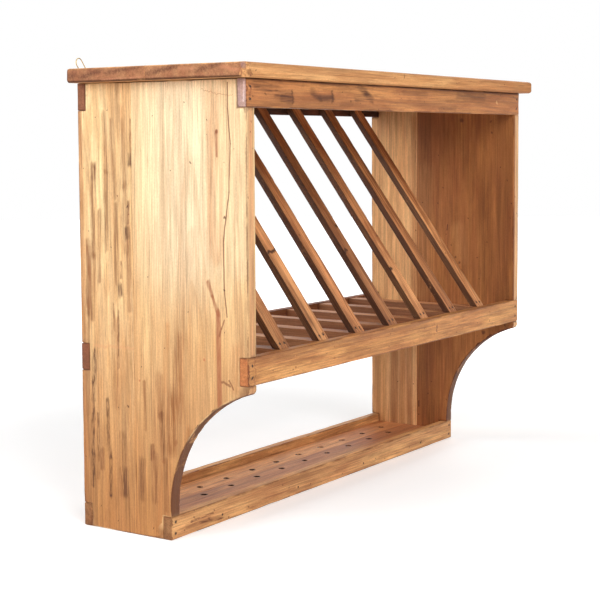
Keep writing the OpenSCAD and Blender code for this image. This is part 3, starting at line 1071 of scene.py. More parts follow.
def grid_cuts(bm: BMesh, steps: Point, margin: float = 4.0) -> None:
    """Cuts a mesh across the three axes at even steps, and close to its outer faces.

    Args:
        bm: the mesh.
        steps: the distance between two cuts along each axis.
        margin: how far the first and the last cut stand from the outer faces.
    """
    for axis, step in enumerate(steps):
        low = min(v.co[axis] for v in bm.verts)
        high = max(v.co[axis] for v in bm.verts)
        count = max(1, round((high - low) / step))
        places = [low + (high - low) * i / count for i in range(1, count)]
        if high - low > 3 * margin:
            places = [low + margin, high - margin] + [
                p for p in places if low + 1.5 * margin < p < high - 1.5 * margin]
        normal = Vector((0, 0, 0))
        normal[axis] = 1
        for place in places:
            bmesh.ops.bisect_plane(bm, geom=bm.verts[:] + bm.edges[:] + bm.faces[:],
                                   plane_co=normal * place, plane_no=normal, dist=0.01)


def outer_edges(bm: BMesh) -> list[bmesh.types.BMEdge]:
    """Returns the edges where two faces meet in an outer corner."""
    return [e for e in bm.edges
            if e.is_manifold and e.is_convex and e.calc_face_angle(0.0) > 0.5]


def round_edges(bm: BMesh, edges: list[bmesh.types.BMEdge], radius: float,
                segments: int = 3) -> None:
    """Rounds edges.

    Args:
        bm: the mesh.
        edges: the edges.
        radius: the radius.
        segments: the number of steps round it.
    """
    bmesh.ops.bevel(bm, geom=edges, offset=radius, offset_type="OFFSET", segments=segments,
                    profile=0.5, affect="EDGES", clamp_overlap=True, material=-1,
                    loop_slide=True)


def distances(points: np.ndarray, lines: Lines) -> np.ndarray:
    """Returns the distance from each of many points to the nearest of some straight lines.

    Args:
        points: the points, one in each row.
        lines: the ends of each line.

    Returns:
        One distance for each point.
    """
    best = np.full(len(points), 1e9)
    for start, stop in lines:
        along = np.array(stop - start)
        away = points - np.array(start)
        share = np.clip(away @ along / max(along @ along, 1e-9), 0.0, 1.0)
        best = np.minimum(best, np.linalg.norm(away - share[:, None] * along, axis=1))
    return best


def store(bm: BMesh, mesh: bpy.types.Mesh) -> None:
    """Writes a mesh into Blender's own, and frees it.

    Args:
        bm: the mesh in millimetres.
        mesh: Blender's mesh, which is in metres.
    """
    bmesh.ops.recalc_face_normals(bm, faces=bm.faces)
    bmesh.ops.scale(bm, vec=(MM, MM, MM), verts=bm.verts)
    bm.to_mesh(mesh)
    bm.free()


def new_object(name: str, bm: BMesh) -> bpy.types.Object:
    """Turns a mesh in millimetres into an object of the scene, and frees it.

    Args:
        name: the object's name.
        bm: the mesh.

    Returns:
        The object.
    """
    mesh = bpy.data.meshes.new(name)
    store(bm, mesh)
    piece = bpy.data.objects.new(name, mesh)
    bpy.context.scene.collection.objects.link(piece)
    return piece


def cut_away(piece: bpy.types.Object, bm: BMesh) -> None:
    """Cuts a solid out of a piece.

    Args:
        piece: the piece.
        bm: the solid, in millimetres.
    """
    cutter = new_object(f"{piece.name}_cutter", bm)
    boolean = piece.modifiers.new("cut", "BOOLEAN")
    boolean.operation, boolean.solver, boolean.object = "DIFFERENCE", "EXACT", cutter
    bpy.context.view_layer.update()
    graph = bpy.context.evaluated_depsgraph_get()
    shaped = bpy.data.meshes.new_from_object(piece.evaluated_get(graph))
    piece.modifiers.clear()
    piece.data = shaped
    bpy.data.objects.remove(cutter)


def adopt(piece: bpy.types.Object, node: str) -> None:
    """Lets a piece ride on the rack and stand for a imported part.

    Args:
        piece: the piece.
        node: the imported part.
    """
    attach(piece, "root")
    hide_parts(node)


# ---- Boards ----


@dataclass
class Board:
    """One sawn board of the rack.

    Attributes:
        node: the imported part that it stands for.
        pine: its finish.
        tree: where in its tree it was sawn.
        arris: the radius of its worn arrises.
        step: the distance between the cuts that let its faces wave.
        wave: how far its faces dip.
        tones: broad marks that lie under the grain's lines.
        marks: its dots and strokes.
        knots: its knots.
        housings: the low and high corners of what is cut out of it.
        drains: the middles of its drain holes.
        seam: where along Y it meets the next board, or None.
        low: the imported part's lowest corner.
        high: its highest corner.
    """

    node: str
    pine: Pine
    tree: Tree
    arris: float = 1.0
    step: float = 26.0
    wave: float = 0.22
    tones: Marks = ()
    marks: Marks = ()
    knots: tuple[Knot, ...] = ()
    housings: Boxes = ()
    drains: tuple[Point, ...] = ()
    seam: float | None = None
    low: Vector = field(init=False)
    high: Vector = field(init=False)

    def __post_init__(self) -> None:
        """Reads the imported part's box."""
        self.low, self.high = (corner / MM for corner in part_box(self.node))

    def shape(self, bm: BMesh) -> None:
        """Adds the board's solid with square arrises."""
        add_box(bm, self.low, self.high)

    def at_seam(self, one: Vector, other: Vector) -> bool:
        """Tells whether both of two points lie where the board meets the next one."""
        return self.seam is not None and max(abs(one.y - self.seam),
                                             abs(other.y - self.seam)) < 0.01

    def ease(self, bm: BMesh) -> None:
        """Rounds the arrises, and only just breaks those at a seam.

        Args:
            bm: the square solid.
        """
        edges = outer_edges(bm)
        joined = {e for e in edges if self.at_seam(*(v.co for v in e.verts))}
        round_edges(bm, [e for e in edges if e not in joined], self.arris)
        if joined:
            edges = [e for e in outer_edges(bm) if self.at_seam(*(v.co for v in e.verts))]
            round_edges(bm, edges, 0.35, 1)

    def age(self, bm: BMesh, lines: Lines) -> None:
        """Lets the faces dip a little and wears the arrises unevenly.

        Args:
            bm: the mesh with its cuts.
            lines: the square solid's arrises.
        """
        bm.normal_update()
        near = distances(np.array([v.co for v in bm.verts]), lines)
        seed = Vector((self.tree.seed, 5.0, -self.tree.seed))
        moves = []
        for vert, away in zip(bm.verts, near):
            dip = max(0.0, noise.noise(vert.co * 0.011 + seed) + 0.5) * self.wave
            depth = dip * min(1.0, away / 12.0)
            if away < 1.6 * self.arris:
                worn = max(0.0, noise.noise(vert.co * 0.045 - seed))
                nick = max(0.0, noise.noise(vert.co * 0.17 + seed) - 0.25)
                depth += (worn * 0.5 + nick * 1.3) * self.arris
            moves.append(vert.normal * depth)
        for vert, move in zip(bm.verts, moves):
            vert.co -= move

    def build(self, groups: Groups, nails: tuple[Nail, ...]) -> bpy.types.Object:
        """Builds and dresses the board.

        Args:
            groups: the shared effects.
            nails: the rack's nails. Those that enter the board get their holes.

        Returns:
            The finished piece.
        """
        bm = bmesh.new()
        self.shape(bm)
        bmesh.ops.recalc_face_normals(bm, faces=bm.faces)
        lines = [(e.verts[0].co.copy(), e.verts[1].co.copy()) for e in outer_edges(bm)]
        self.ease(bm)
        piece = new_object(f"{self.node}_wood", bm)
        mine = [nail for nail in nails if nail.meets(self.low, self.high)]
        self.hollow(piece, mine)
        bm = bmesh.new()
        bm.from_mesh(piece.data)
        bmesh.ops.scale(bm, vec=(1 / MM,) * 3, verts=bm.verts)
        grid_cuts(bm, (self.step,) * 3)
        self.age(bm, lines)
        store(bm, piece.data)
        self.record_arrises(piece, [ends for ends in lines if not self.at_seam(*ends)])
        rust = tuple(Mark(nail.mouth, None, 3.6, RUST, nail.rust, 0.5) for nail in mine
                     if nail.rust and all(
                         self.low[i] - 0.5 <= nail.mouth[i] <= self.high[i] + 0.5
                         for i in range(3)))
        material = self.pine.dress(groups, f"pine_{self.node}", self.tree, self.tones,
                                   self.marks + rust, self.knots)
        piece.data.materials.append(material)
        adopt(piece, self.node)
        log.info("%s: %d faces, %d nails, %d marks", piece.name, len(piece.data.polygons),
                 len(mine), len(self.marks))
        return piece

    def hollow(self, piece: bpy.types.Object, nails: list[Nail]) -> None:
        """Cuts the housings, the drain holes and the nail holes.

        Args:
            piece: the board.
            nails: the nails that enter it.
        """
        if self.housings:
            bm = bmesh.new()
            for low, high in self.housings:
                add_box(bm, low, high)
            cut_away(piece, bm)
        if self.drains:
            bm = bmesh.new()
            for place in self.drains:
                bmesh.ops.create_cone(bm, cap_ends=True, segments=32, radius1=DRAIN_R,
                                      radius2=DRAIN_R, depth=40.0,
                                      matrix=Matrix.Translation(place))
            cut_away(piece, bm)
        if nails:
            bm = bmesh.new()
            for nail in nails:
                nail.cut(bm)
            cut_away(piece, bm)

    @staticmethod
    def record_arrises(piece: bpy.types.Object, lines: Lines) -> None:
        """Stores each vertex's distance to the arrises, and smooths the shading.

        Args:
            piece: the board.
            lines: the ends of each arris.
        """
        mesh = piece.data
        points = np.empty(len(mesh.vertices) * 3)
        mesh.vertices.foreach_get("co", points)
        near = distances(points.reshape(-1, 3) / MM, lines) * MM
        mesh.attributes.new("arris", "FLOAT", "POINT").data.foreach_set("value", near)
        mesh.shade_smooth()
        mesh.set_sharp_from_angle(angle=math.radians(34))


@dataclass
class PanelBoard(Board):
    """A board of a side panel, notched for the ends of the rails.

    Attributes:
        scooped: whether it is the front board, which has the scoop.
    """

    scooped: bool = False

    def shape(self, bm: BMesh) -> None:
        """Adds the outline, seen from the end of the rack, and gives it its depth.

        Args:
            bm: the mesh.
        """
        low, high = self.low, self.high
        places = self.front_outline(high) if self.scooped else self.back_outline(low)
        verts = self.scoop(bm, low.x) if self.scooped else []
        verts += [bm.verts.new((low.x, *place)) for place in places]
        widen(bm, verts, high.x - low.x)

    @staticmethod
    def front_outline(high: Vector) -> list[tuple[float, float]]:
        """Returns the corners from the nose over the top and the back to the foot.

        Args:
            high: the board's highest corner.

        Returns:
            The corners, by depth and height.
        """
        foot, middle, top = RAIL_LEVELS
        inner = FRONT_Y + RAIL_T
        return [(FRONT_Y, middle[0]), (inner, middle[0]), (inner, middle[1]),
                (FRONT_Y, middle[1]), (FRONT_Y, top[0]), (inner, top[0]), (inner, RACK_H),
                (high.y, RACK_H), (high.y, 0.0), (FOOT_Y + RAIL_T, 0.0),
                (FOOT_Y + RAIL_T, foot[1])]

    @staticmethod
    def back_outline(low: Vector) -> list[tuple[float, float]]:
        """Returns the corners of the back board.

        Args:
            low: the board's lowest corner.

        Returns:
            The corners, by depth and height.
        """
        foot, middle, top = RAIL_LEVELS
        inner = BACK_Y - RAIL_T
        return [(low.y, 0.0), (low.y, RACK_H), (inner, RACK_H), (inner, top[0]),
                (BACK_Y, top[0]), (BACK_Y, middle[1]), (inner, middle[1]), (inner, middle[0]),
                (BACK_Y, middle[0]), (BACK_Y, foot[1]), (inner, foot[1]), (inner, 0.0)]

    @staticmethod
    def scoop(bm: BMesh, x: float) -> list[bmesh.types.BMVert]:
        """Spins the scoop and the nose above it, from the foot upwards.

        Args:
            bm: the mesh.
            x: where the outline lies across the rack.

        Returns:
            The outline's vertices in order.
        """
        sweep = math.atan2(NOSE_Z - SCOOP_Z, NOSE_R - (FOOT_Y - FRONT_Y) + SCOOP_R)
        chain = [bm.verts.new((x, FOOT_Y, RAIL_LEVELS[0][1])),
                 bm.verts.new((x, FOOT_Y, SCOOP_Z))]
        for middle, angle, steps in (((x, FOOT_Y - SCOOP_R, SCOOP_Z), sweep, 40),
                                     ((x, FRONT_Y + NOSE_R, NOSE_Z), -sweep, 12)):
            before, here = chain[-2], chain[-1]
            last = bmesh.ops.spin(bm, geom=[here], cent=middle, axis=(1, 0, 0), angle=angle,
                                  steps=steps, use_merge=False)["geom_last"][0]
            while here is not last:
                onward = [e.other_vert(here) for e in here.link_edges]
                before, here = here, next(v for v in onward if v is not before)
                chain.append(here)
        return chain


@dataclass
class TopBoard(Board):
    """A board of the top, with its rounded ends and, on the front one, the broken corner.

    Attributes:
        in_front: whether it is the front board.
        edge_r: the radius of its front edge and ends.
        break_x: how far the break reaches along the front edge, at the underside.
        break_y: how far it reaches along the end, at the underside.
        break_top: how deep it is at the upper face.
    """

    in_front: bool = False
    edge_r: float = 5.0
    break_x: float = 20.0
    break_y: float = 13.0
    break_top: float = 2.5

    def ease(self, bm: BMesh) -> None:
        """Rounds the ends and the front edge boldly and the rest finely, and breaks a corner.

        Args:
            bm: the square solid.
        """
        low, high = self.low, self.high
        bold = []
        for edge in outer_edges(bm):
            one, other = (vert.co for vert in edge.verts)
            middle = (one + other) / 2
            at_end = min(middle.x - low.x, high.x - middle.x) < 0.01
            at_front = self.in_front and middle.y - low.y < 0.01
            if abs(one.z - other.z) < 0.01 and (at_end or at_front):
                bold.append(edge)
        round_edges(bm, bold, self.edge_r, 6)
        super().ease(bm)
        if self.in_front:
            self.break_corner(bm)

    def break_corner(self, bm: BMesh) -> None:
        """Breaks the left front corner off and roughens the face of the break.

        Args:
            bm: the rounded board.
        """
        depth = self.break_x * self.break_y / math.hypot(self.break_x, self.break_y)
        turn = math.atan2(self.break_x, self.break_y)
        tilt = math.atan2(depth - self.break_top, self.high.z - self.low.z)
        normal = Vector((math.cos(turn) * math.cos(tilt), math.sin(turn) * math.cos(tilt),
                         math.sin(tilt)))
        place = self.low + Vector((math.cos(turn), math.sin(turn), 0)) * depth
        bmesh.ops.bisect_plane(bm, geom=bm.verts[:] + bm.edges[:] + bm.faces[:],
                               plane_co=place, plane_no=normal, clear_inner=True, dist=0.01)
        rim = [e for e in bm.edges if e.is_boundary]
        rim_verts = {v for e in rim for v in e.verts}
        made = bmesh.ops.edgeloop_fill(bm, edges=rim)["faces"]
        bmesh.ops.inset_individual(bm, faces=made, thickness=0.8)
        fan = bmesh.ops.poke(bm, faces=made)["faces"]
        bmesh.ops.subdivide_edges(bm, edges=list({e for f in fan for e in f.edges}), cuts=4,
                                  use_grid_fill=True)
        for vert in bm.verts:
            if vert not in rim_verts and abs((vert.co - place).dot(normal)) < 0.02:
                rough = noise.noise(Vector((vert.co.x, vert.co.y, 0.3 * vert.co.z)) * 0.45)
                vert.co += normal * (0.7 + rough * 1.3)


@dataclass
class LeaningSlat(Board):
    """A plate slat, leaning back from its base slat to the rail behind."""

    def shape(self, bm: BMesh) -> None:
        """Adds the slat's side, cut level at the foot and upright at the head, and widens it.

        Args:
            bm: the mesh.
        """
        low, high = self.low, self.high
        level = SLAT_T / math.cos(SLAT_LEAN)
        upright = SLAT_T / math.sin(SLAT_LEAN)
        places = ((low.y, low.z), (low.y + level, low.z), (high.y, high.z - upright),
                  (high.y, high.z))
        widen(bm, [bm.verts.new((low.x, *place)) for place in places], high.x - low.x)


# ---- Finishes ----

SIDE_PINE = Pine(light=(239, 202, 148), deep=(210, 158, 102), late=(182, 128, 78),
                 stain=(150, 98, 60), growth=0.25, streak=0.25, band=0.15, ruddy=0.1, patch=0.15,
                 fleck=0.2)
BACK_STRIP_PINE = Pine(light=(246, 208, 154), deep=(206, 154, 98), late=(150, 100, 60),
                       stain=(112, 72, 44), growth=0.3, streak=0.8, band=0.15, ruddy=0.1,
                       patch=0.4)
# The right front board: its inner face darkened as painted shade of the inside of the rack, while
# outer_shade gives its outer face lighter wood
SHADED_INNER_PINE = Pine(light=(178, 116, 64), deep=(130, 76, 40), late=(112, 65, 34),
                  stain=(92, 52, 28), growth=0.25, band=0.3, streak=0.15, fleck=0.2, patch=0.45,
                  cloud=0.6)
# The right back board, paler: its own wood, and painted light falling in through the open back
INNER_STRIP_PINE = replace(SHADED_INNER_PINE, light=(252, 198, 138), deep=(206, 146, 94),
                           late=(166, 112, 70), stain=(140, 88, 52), growth=0.2, streak=0.15,
                           patch=0.3, cloud=0.4)
RAIL_PINE = Pine(light=(228, 166, 102), deep=(152, 94, 50), late=(132, 80, 42),
                 stain=(104, 58, 32), streak=0.35, band=0.25, ruddy=0.3)
TOP_RAIL_PINE = replace(RAIL_PINE, light=(218, 152, 92), deep=(134, 80, 42),
                        late=(116, 68, 38), stain=(86, 46, 28), end=(186, 160, 156))
MIDDLE_RAIL_PINE = replace(RAIL_PINE, end=(176, 100, 58))
LOW_RAIL_PINE = replace(RAIL_PINE, light=(246, 188, 124), deep=(172, 114, 70), end=(86, 44, 26))
TOP_PINE = Pine(light=(246, 188, 126), deep=(194, 132, 78), late=(152, 96, 54),
                stain=(112, 64, 36), end=(122, 70, 56), streak=0.35, band=0.2, gloss=0.58)
DARK_PINE = Pine(light=(156, 96, 60), deep=(108, 62, 38), late=(88, 50, 30),
                 stain=(56, 32, 22))
# The top back rail, nearly black-brown: painted shade of the inside under the top
SHADED_BACK_RAIL_PINE = Pine(light=(66, 38, 24), deep=(46, 26, 17), late=(42, 24, 16), stain=(34, 20, 14),
                  end=(150, 98, 72), gloss=0.62)
# The plate slats' sides get painted shade in their stain colour
SLAT_PINE = Pine(light=(248, 180, 120), deep=(150, 88, 50), late=(104, 56, 30),
                 stain=(56, 29, 16), growth=0.6, streak=0.5, patch=0.65, cloud=0.5, spacing=3.2,
                 worn=1.1, flank_shade=0.85)
RED_SLAT_PINE = replace(SLAT_PINE, light=(232, 162, 106), deep=(132, 76, 44),
                        late=(96, 52, 30))
# The base slats' sides get painted shade in their stain colour
BASE_PINE = Pine(light=(214, 156, 110), deep=(164, 106, 68), late=(140, 88, 54),
                 stain=(92, 50, 32), spacing=3.4, worn=1.5, flank_shade=0.6)
TRAY_PINE = Pine(light=(252, 186, 126), deep=(190, 126, 82), late=(156, 100, 66),
                 stain=(108, 66, 42), growth=0.25, streak=0.35, band=0.2)
RUSTY_IRON = Metal((64, 48, 40), (50, 30, 22), 0.3, (0.5, 0.85))
OLD_BRASS = Metal((214, 184, 112), (128, 98, 58), 0.95, (0.28, 0.55))
WAXED_IRON = Metal((188, 128, 78), (150, 92, 52), 0.0, (0.6, 0.75))


# ---- The rack's parts ----


@dataclass
class SidePanels:
    """The two side panels, each of a front and a back board.

    Attributes:
        groove_x: how far from the middle the tray's grooves reach.
        arris: the radius of the panels' arrises.
    """

    groove_x: float = 444.0
    arris: float = 1.3

    def groove(self, side: int) -> Boxes:
        """Returns the groove for the tray in the panel at one side."""
        ends = sorted((side * self.groove_x, side * (HALF_W - PANEL_T - 1)))
        return (((ends[0], FOOT_Y + RAIL_T, TRAY_LEVELS[0]),
                 (ends[1], BACK_Y - RAIL_T, TRAY_LEVELS[1])),)

    @staticmethod
    def foot_shade(side: int) -> Marks:
        """Returns the darker wood low down on the panel at one side."""
        x = side * HALF_W
        return (Mark((x, -200, -60), (x, 220, -60), 600, (179, 121, 67), 0.92, 0.1),)

    @staticmethod
    def scoop_shade(side: int) -> Marks:
        """Returns the dark colour on the cut face of the scoop of the panel at one side: painted
        shade, as that face looks forward and down.
        """
        ends = ((side * (HALF_W + 20), FOOT_Y - SCOOP_R, SCOOP_Z),
                (side * (HALF_W - PANEL_T - 20), FOOT_Y - SCOOP_R, SCOOP_Z))
        return (Mark(*ends, SCOOP_R + 1.7, (84, 42, 26), 0.85, 0.993),)

    @staticmethod
    def lid_shadow(start: float, stop: float) -> Marks:
        """Returns the painted shadow under the top on the left panel, between two depths."""
        return (Mark(Face.LEFT.at(start, 697), Face.LEFT.at(stop, 697), 3.6, (74, 40, 22), 0.85,
                     0.4, ruled=True),)

    @staticmethod
    def outer_shade() -> Marks:
        """Returns the lighter wood of the outer face of the right panel.

        The stroke is so wide and so far out that it reaches no further in than that face.
        """
        return (Mark((HALF_W + 600, 8, -300), (HALF_W + 600, 8, 1000), 1238, (236, 184, 124), 0.9,
                     0.98, ruled=True),)

    def left_front_tones(self) -> Marks:
        """Returns the broad tones of the left front board, with painted light on its upper part.
        """
        side = Face.LEFT
        # Painted light: the upper middle of the board is paler, as a pool of light
        tones = line(side, ((120, 700), (108, 450)), 150, (252, 232, 196), 0.7, 0.0)
        tones += line(side, ((14, 700), (14, 420)), 26, (250, 222, 180), 0.5, 0.1)
        tones += self.foot_shade(-1)
        return tones + strokes(side, (
            (((60, 670), (57, 440)), 22, (216, 148, 98), 0.45, 0.3, 0.5),
            (((126, 310), (134, 190)), 19, (136, 78, 34), 0.7, 0.1, 0.7),
            (((142, 218), (146, 145)), 27, (130, 74, 34), 0.75, 0.1, 0.7),
            (((108, 170), (118, 60)), 15, (146, 84, 40), 0.65, 0.1, 0.7),
            (((160, 110), (166, 20)), 22, (156, 98, 52), 0.5, 0.1, 0.7),
            (((201, 118), (202, 58)), 10, (108, 62, 34), 0.8, 0.2, 0.8),
            (((177, 128), (178, 58)), 10, (108, 62, 34), 0.75, 0.2, 0.8),
            (((166, 250), (164, 190)), 13, (128, 74, 36), 0.7, 0.1, 0.6),
            (((163, 192), (160, 125)), 8, (104, 58, 28), 0.85, 0.2, 0.6),
            (((156, 122), (155, 48)), 7, (112, 64, 32), 0.75, 0.2, 0.6),
            (((181, 142), (182, 122)), 6, (104, 58, 30), 0.8, 0.2, 0.5),
            (((196, 240), (195, 165)), 5, (128, 76, 40), 0.7, 0.1, 0.6),
            (((150, 330), (155, 230)), 9, (186, 124, 70), 0.5, 0.1, 0.6),
            (((20, 300), (22, 250)), 20, (190, 124, 74), 0.4, 0.1, 0.4),
        ))

    def left_front_marks(self) -> Marks:
        """Returns the marks on the outer face of the left front board."""
        side = Face.LEFT
        marks = self.scoop_shade(-1) + self.lid_shadow(0, 215)
        marks += strokes(side, (
            (((33, 691), (33, 653), (29, 600), (32, 532), (43, 460), (42, 388), (38, 350)), 1.5,
             (112, 62, 38), 0.85, 0.3),
            (((72, 401), (64, 376), (53, 352)), 4.6, (146, 84, 52), 0.8, 0.3, 0.25),
            (((54, 356), (52, 214)), 6.0, (150, 82, 52), 0.8, 0.4, 0.2),
            (((43, 345), (48, 334), (52, 320)), 2.0, (128, 74, 46), 0.7, 0.3),
            (((54, 618), (54, 585)), 3.4, (150, 88, 56), 0.7, 0.2, 0.3),
            (((48, 254), (33, 248)), 2.6, STAIN, 0.7, 0.3),
            (((35, 256), (27, 246)), 2.2, STAIN, 0.7, 0.3),
            (((81, 679), (24, 671)), 0.9, (160, 104, 70), 0.6),
        ))
        marks += dots(side, ((54, 618),), 4.2, (128, 70, 44), 0.85)
        marks += dots(side, ((40, 495),), 3.4, (92, 52, 34), 0.85)
        marks += dots(side, ((80, 282), (205, 244)), 2.4, REDDISH, 0.7)
        marks += dots(side, ((102, 576), (42, 388)), 2.3)
        marks += dots(side, ((159, 120), (136, 152)), 5.5, (140, 86, 48), 0.6)
        return marks + dots(side, (
            (113, 664), (173, 644), (71, 636), (140, 562), (43, 328), (186, 403), (155, 296),
            (109, 350), (201, 262), (181, 16)), 1.5)

    def left_back_tones(self) -> Marks:
        """Returns the broad tones of the left back board."""
        side, brown = Face.LEFT, (122, 76, 42)
        tones = self.foot_shade(-1)
        return tones + strokes(side, (
            (((319, 650), (317, 40)), 9, (176, 112, 64), 0.7, 0.2, 0.3),
            (((236, 655), (230, 540), (226, 440)), 13, brown, 0.6, 0.1, 0.8),
            (((270, 650), (266, 560), (268, 440)), 6, brown, 0.75, 0.2, 0.6),
            (((254, 640), (250, 520)), 7, brown, 0.6, 0.1, 0.7),
            (((292, 570), (295, 430), (298, 330)), 8, brown, 0.8, 0.2, 0.6),
            (((306, 450), (307, 340)), 10, brown, 0.7, 0.1, 0.6),
            (((281, 500), (283, 390)), 6, brown, 0.65, 0.2, 0.7),
            (((248, 510), (247, 390)), 7, brown, 0.65, 0.2, 0.7),
            (((224, 470), (222, 350)), 8, brown, 0.5, 0.2, 0.7),
            (((250, 330), (252, 200)), 12, (160, 104, 60), 0.5, 0.1, 0.7),
            (((308, 340), (309, 180)), 6, brown, 0.5, 0.2, 0.7),
            (((240, 150), (241, 60)), 14, brown, 0.6, 0.1, 0.8),
        ))

    def left_back_marks(self) -> Marks:
        """Returns the marks on the outer face of the left back board."""
        side = Face.LEFT
        marks = self.lid_shadow(215, 322)
        marks += strokes(side, (
            (((304, 440), (305, 350)), 9, (140, 88, 54), 0.7, 0.2, 0.6),
            (((216, 290), (295, 289)), 3.2, (206, 150, 104), 0.45, 0.4),
            (((295, 280), (295, 251), (298, 230), (299, 202), (300, 170), (301, 115), (302, 68)),
             6.5, (84, 48, 28), 0.9, 0.1, 0.72),
            (((270, 205), (269, 138), (265, 115), (266, 54)), 6.0, (90, 52, 30), 0.85, 0.1, 0.72),
            (((290, 180), (291, 80)), 5.0, (104, 62, 36), 0.75, 0.1, 0.72),
            (((245, 345), (247, 257)), 3.2, (110, 64, 36), 0.85, 0.2, 0.7),
            (((255, 355), (253, 315)), 2.6, (110, 64, 36), 0.8, 0.2, 0.7),
            (((237, 64), (238, 96)), 13, (92, 52, 30), 0.8, 0.2, 0.9),
            (((242, 384), (240, 372)), 7.5, (80, 42, 24), 0.9, 0.1, 0.75),
            (((238, 420), (239, 396)), 3.4, (110, 62, 38), 0.7, 0.2, 0.6),
            (((283, 124), (283, 96)), 7.5, (112, 62, 36), 0.75, 0.1, 0.7),
            (((217, 584), (218, 570)), 7.2, (72, 38, 24), 0.9, 0.1, 0.7),
            (((216, 640), (217, 590)), 3.0, (118, 68, 42), 0.7, 0.2, 0.6),
            (((291, 566), (292, 550)), 7.2, (104, 56, 34), 0.8, 0.1, 0.75),
            (((228, 472), (226, 460)), 7.5, (74, 40, 24), 0.9, 0.1, 0.7),
            (((222, 512), (224, 480)), 4.4, (98, 54, 34), 0.8, 0.1, 0.6),
        ))
        marks += dots(side, ((224, 506), (266, 54), (228, 199)), 2.6, (84, 46, 32), 0.85)
        marks += dots(side, ((244, 523), (222, 492), (210, 626), (210, 612)), 2.0,
                      (120, 66, 44), 0.8)
        return marks + dots(side, (
            (262, 656), (286, 644), (303, 468), (258, 442), (287, 33), (317, 113), (252, 17),
            (248, 197)), 1.5)

    def right_tones(self) -> Marks:
        """Returns the broad tones of the inner face of the right panel, with painted light on its
        back part and painted shade under the top.
        """
        side = Face.RIGHT_INSIDE
        tones = strokes(side, (
            # Painted light falling in through the open back, on the back part
            (((250, 620), (250, 520)), 30, (236, 176, 116), 0.5, 0.1, 0.2),
            # Painted shade under the top, on the back part
            (((200, 720), (330, 720)), 140, (112, 68, 40), 0.75, 0.0),
            (((204, 540), (202, 300)), 34, (204, 140, 88), 0.6, 0.1, 0.3),
            (((221, 650), (221, 300)), 14, (166, 108, 64), 0.6, 0.2, 0.2),
            (((120, 430), (115, 372)), 22, (198, 138, 84), 0.5, 0.1, 0.3),
            (((30, 660), (30, 320)), 26, (176, 114, 66), 0.4, 0.1, 0.3),
            # Painted shade under the top, on the front part
            (((80, 690), (180, 690)), 40, (112, 64, 36), 0.5, 0.0, 0.2),
            (((300, 250), (300, 0)), 17, (228, 170, 106), 0.6, 0.5),
            (((268, 250), (268, 0)), 11, (140, 86, 48), 0.6, 0.5, 0.2),
            (((249, 250), (249, 0)), 8, (206, 146, 90), 0.6, 0.4),
            (((232, 250), (232, 0)), 9, (134, 80, 44), 0.6, 0.5, 0.2),
            (((100, 220), (100, 0)), 70, (206, 136, 80), 0.45, 0.2, 0.3),
            (((275, 190), (275, -40)), 64, (150, 94, 54), 0.42, 0.5),
        ))
        return tones + self.outer_shade()

    def right_marks(self) -> Marks:
        """Returns the marks on the inner face of the right panel."""
        side = Face.RIGHT_INSIDE
        marks = strokes(side, (
            (((145, 438), (146, 428)), 1.8, WORM, 0.8),
            (((210, 72), (210, 60)), 2.0, WORM, 0.8),
            (((218, 603), (219, 560)), 2.4, (120, 72, 46), 0.5, 0.2, 0.5),
        ))
        marks += dots(side, ((114, 645), (64, 225)), 6.0, (92, 54, 36), 0.75)
        marks += dots(side, ((48, 619), (50, 642), (118, 362), (127, 372)), 3.4,
                      (96, 56, 38), 0.75)
        return marks + dots(side, (
            (166, 575), (156, 510), (167, 480), (29, 554), (14, 527), (5, 483), (57, 402),
            (7, 454), (99, 452), (148, 419), (137, 396), (98, 289), (218, 422), (202, 480),
            (79, 374), (74, 331), (189, 88), (147, 80), (145, 41), (223, 104), (18, 241),
            (181, 113), (260, 109), (210, 45)), 1.8)

    def boards(self) -> list[Board]:
        """Returns the four boards."""
        edge = Face.FRONT
        edge_marks = (line(edge, ((-447, 640), (-447, 560)), 3.0, (206, 134, 96), 0.5, 0.3)
                      + dots(edge, ((-445, 634), (-447, 619), (-454, 524), (-441, 596)), 1.7,
                             (120, 64, 42), 0.75))
        edge_tones = line(edge, ((-446.5, 710), (-446.5, 240)), 15, (206, 144, 100), 0.6, 0.6)
        far_edge = line(edge, ((446.5, 710), (446.5, 240)), 13, (240, 188, 138), 0.85, 0.75)
        chips = dots(edge, ((440, 515), (442, 497), (450, 462)), 2.4, (104, 60, 40), 0.7)
        right_tones, right_marks = self.right_tones(), self.right_marks()
        return [
            PanelBoard("side_left_front", SIDE_PINE, Tree(Grain.UPRIGHT, 1.3, (-400, -60, 0)),
                       self.arris, tones=self.left_front_tones() + edge_tones,
                       marks=self.left_front_marks() + edge_marks, scooped=True,
                       housings=self.groove(-1), seam=SIDE_SEAM),
            PanelBoard("side_left_back", BACK_STRIP_PINE,
                       Tree(Grain.UPRIGHT, 4.1, (-360, 160, 0), 0.03), self.arris,
                       tones=self.left_back_tones(), marks=self.left_back_marks(),
                       housings=self.groove(-1), seam=SIDE_SEAM),
            PanelBoard("side_right_front", SHADED_INNER_PINE,
                       Tree(Grain.UPRIGHT, 7.7, (500, -40, 0)), self.arris,
                       tones=right_tones + far_edge, scooped=True, housings=self.groove(1),
                       marks=right_marks + chips + self.scoop_shade(1), seam=SIDE_SEAM),
            PanelBoard("side_right_back", INNER_STRIP_PINE,
                       Tree(Grain.UPRIGHT, 9.2, (520, 120, 0), 0.03), self.arris,
                       tones=right_tones, marks=right_marks, housings=self.groove(1),
                       seam=SIDE_SEAM),
        ]


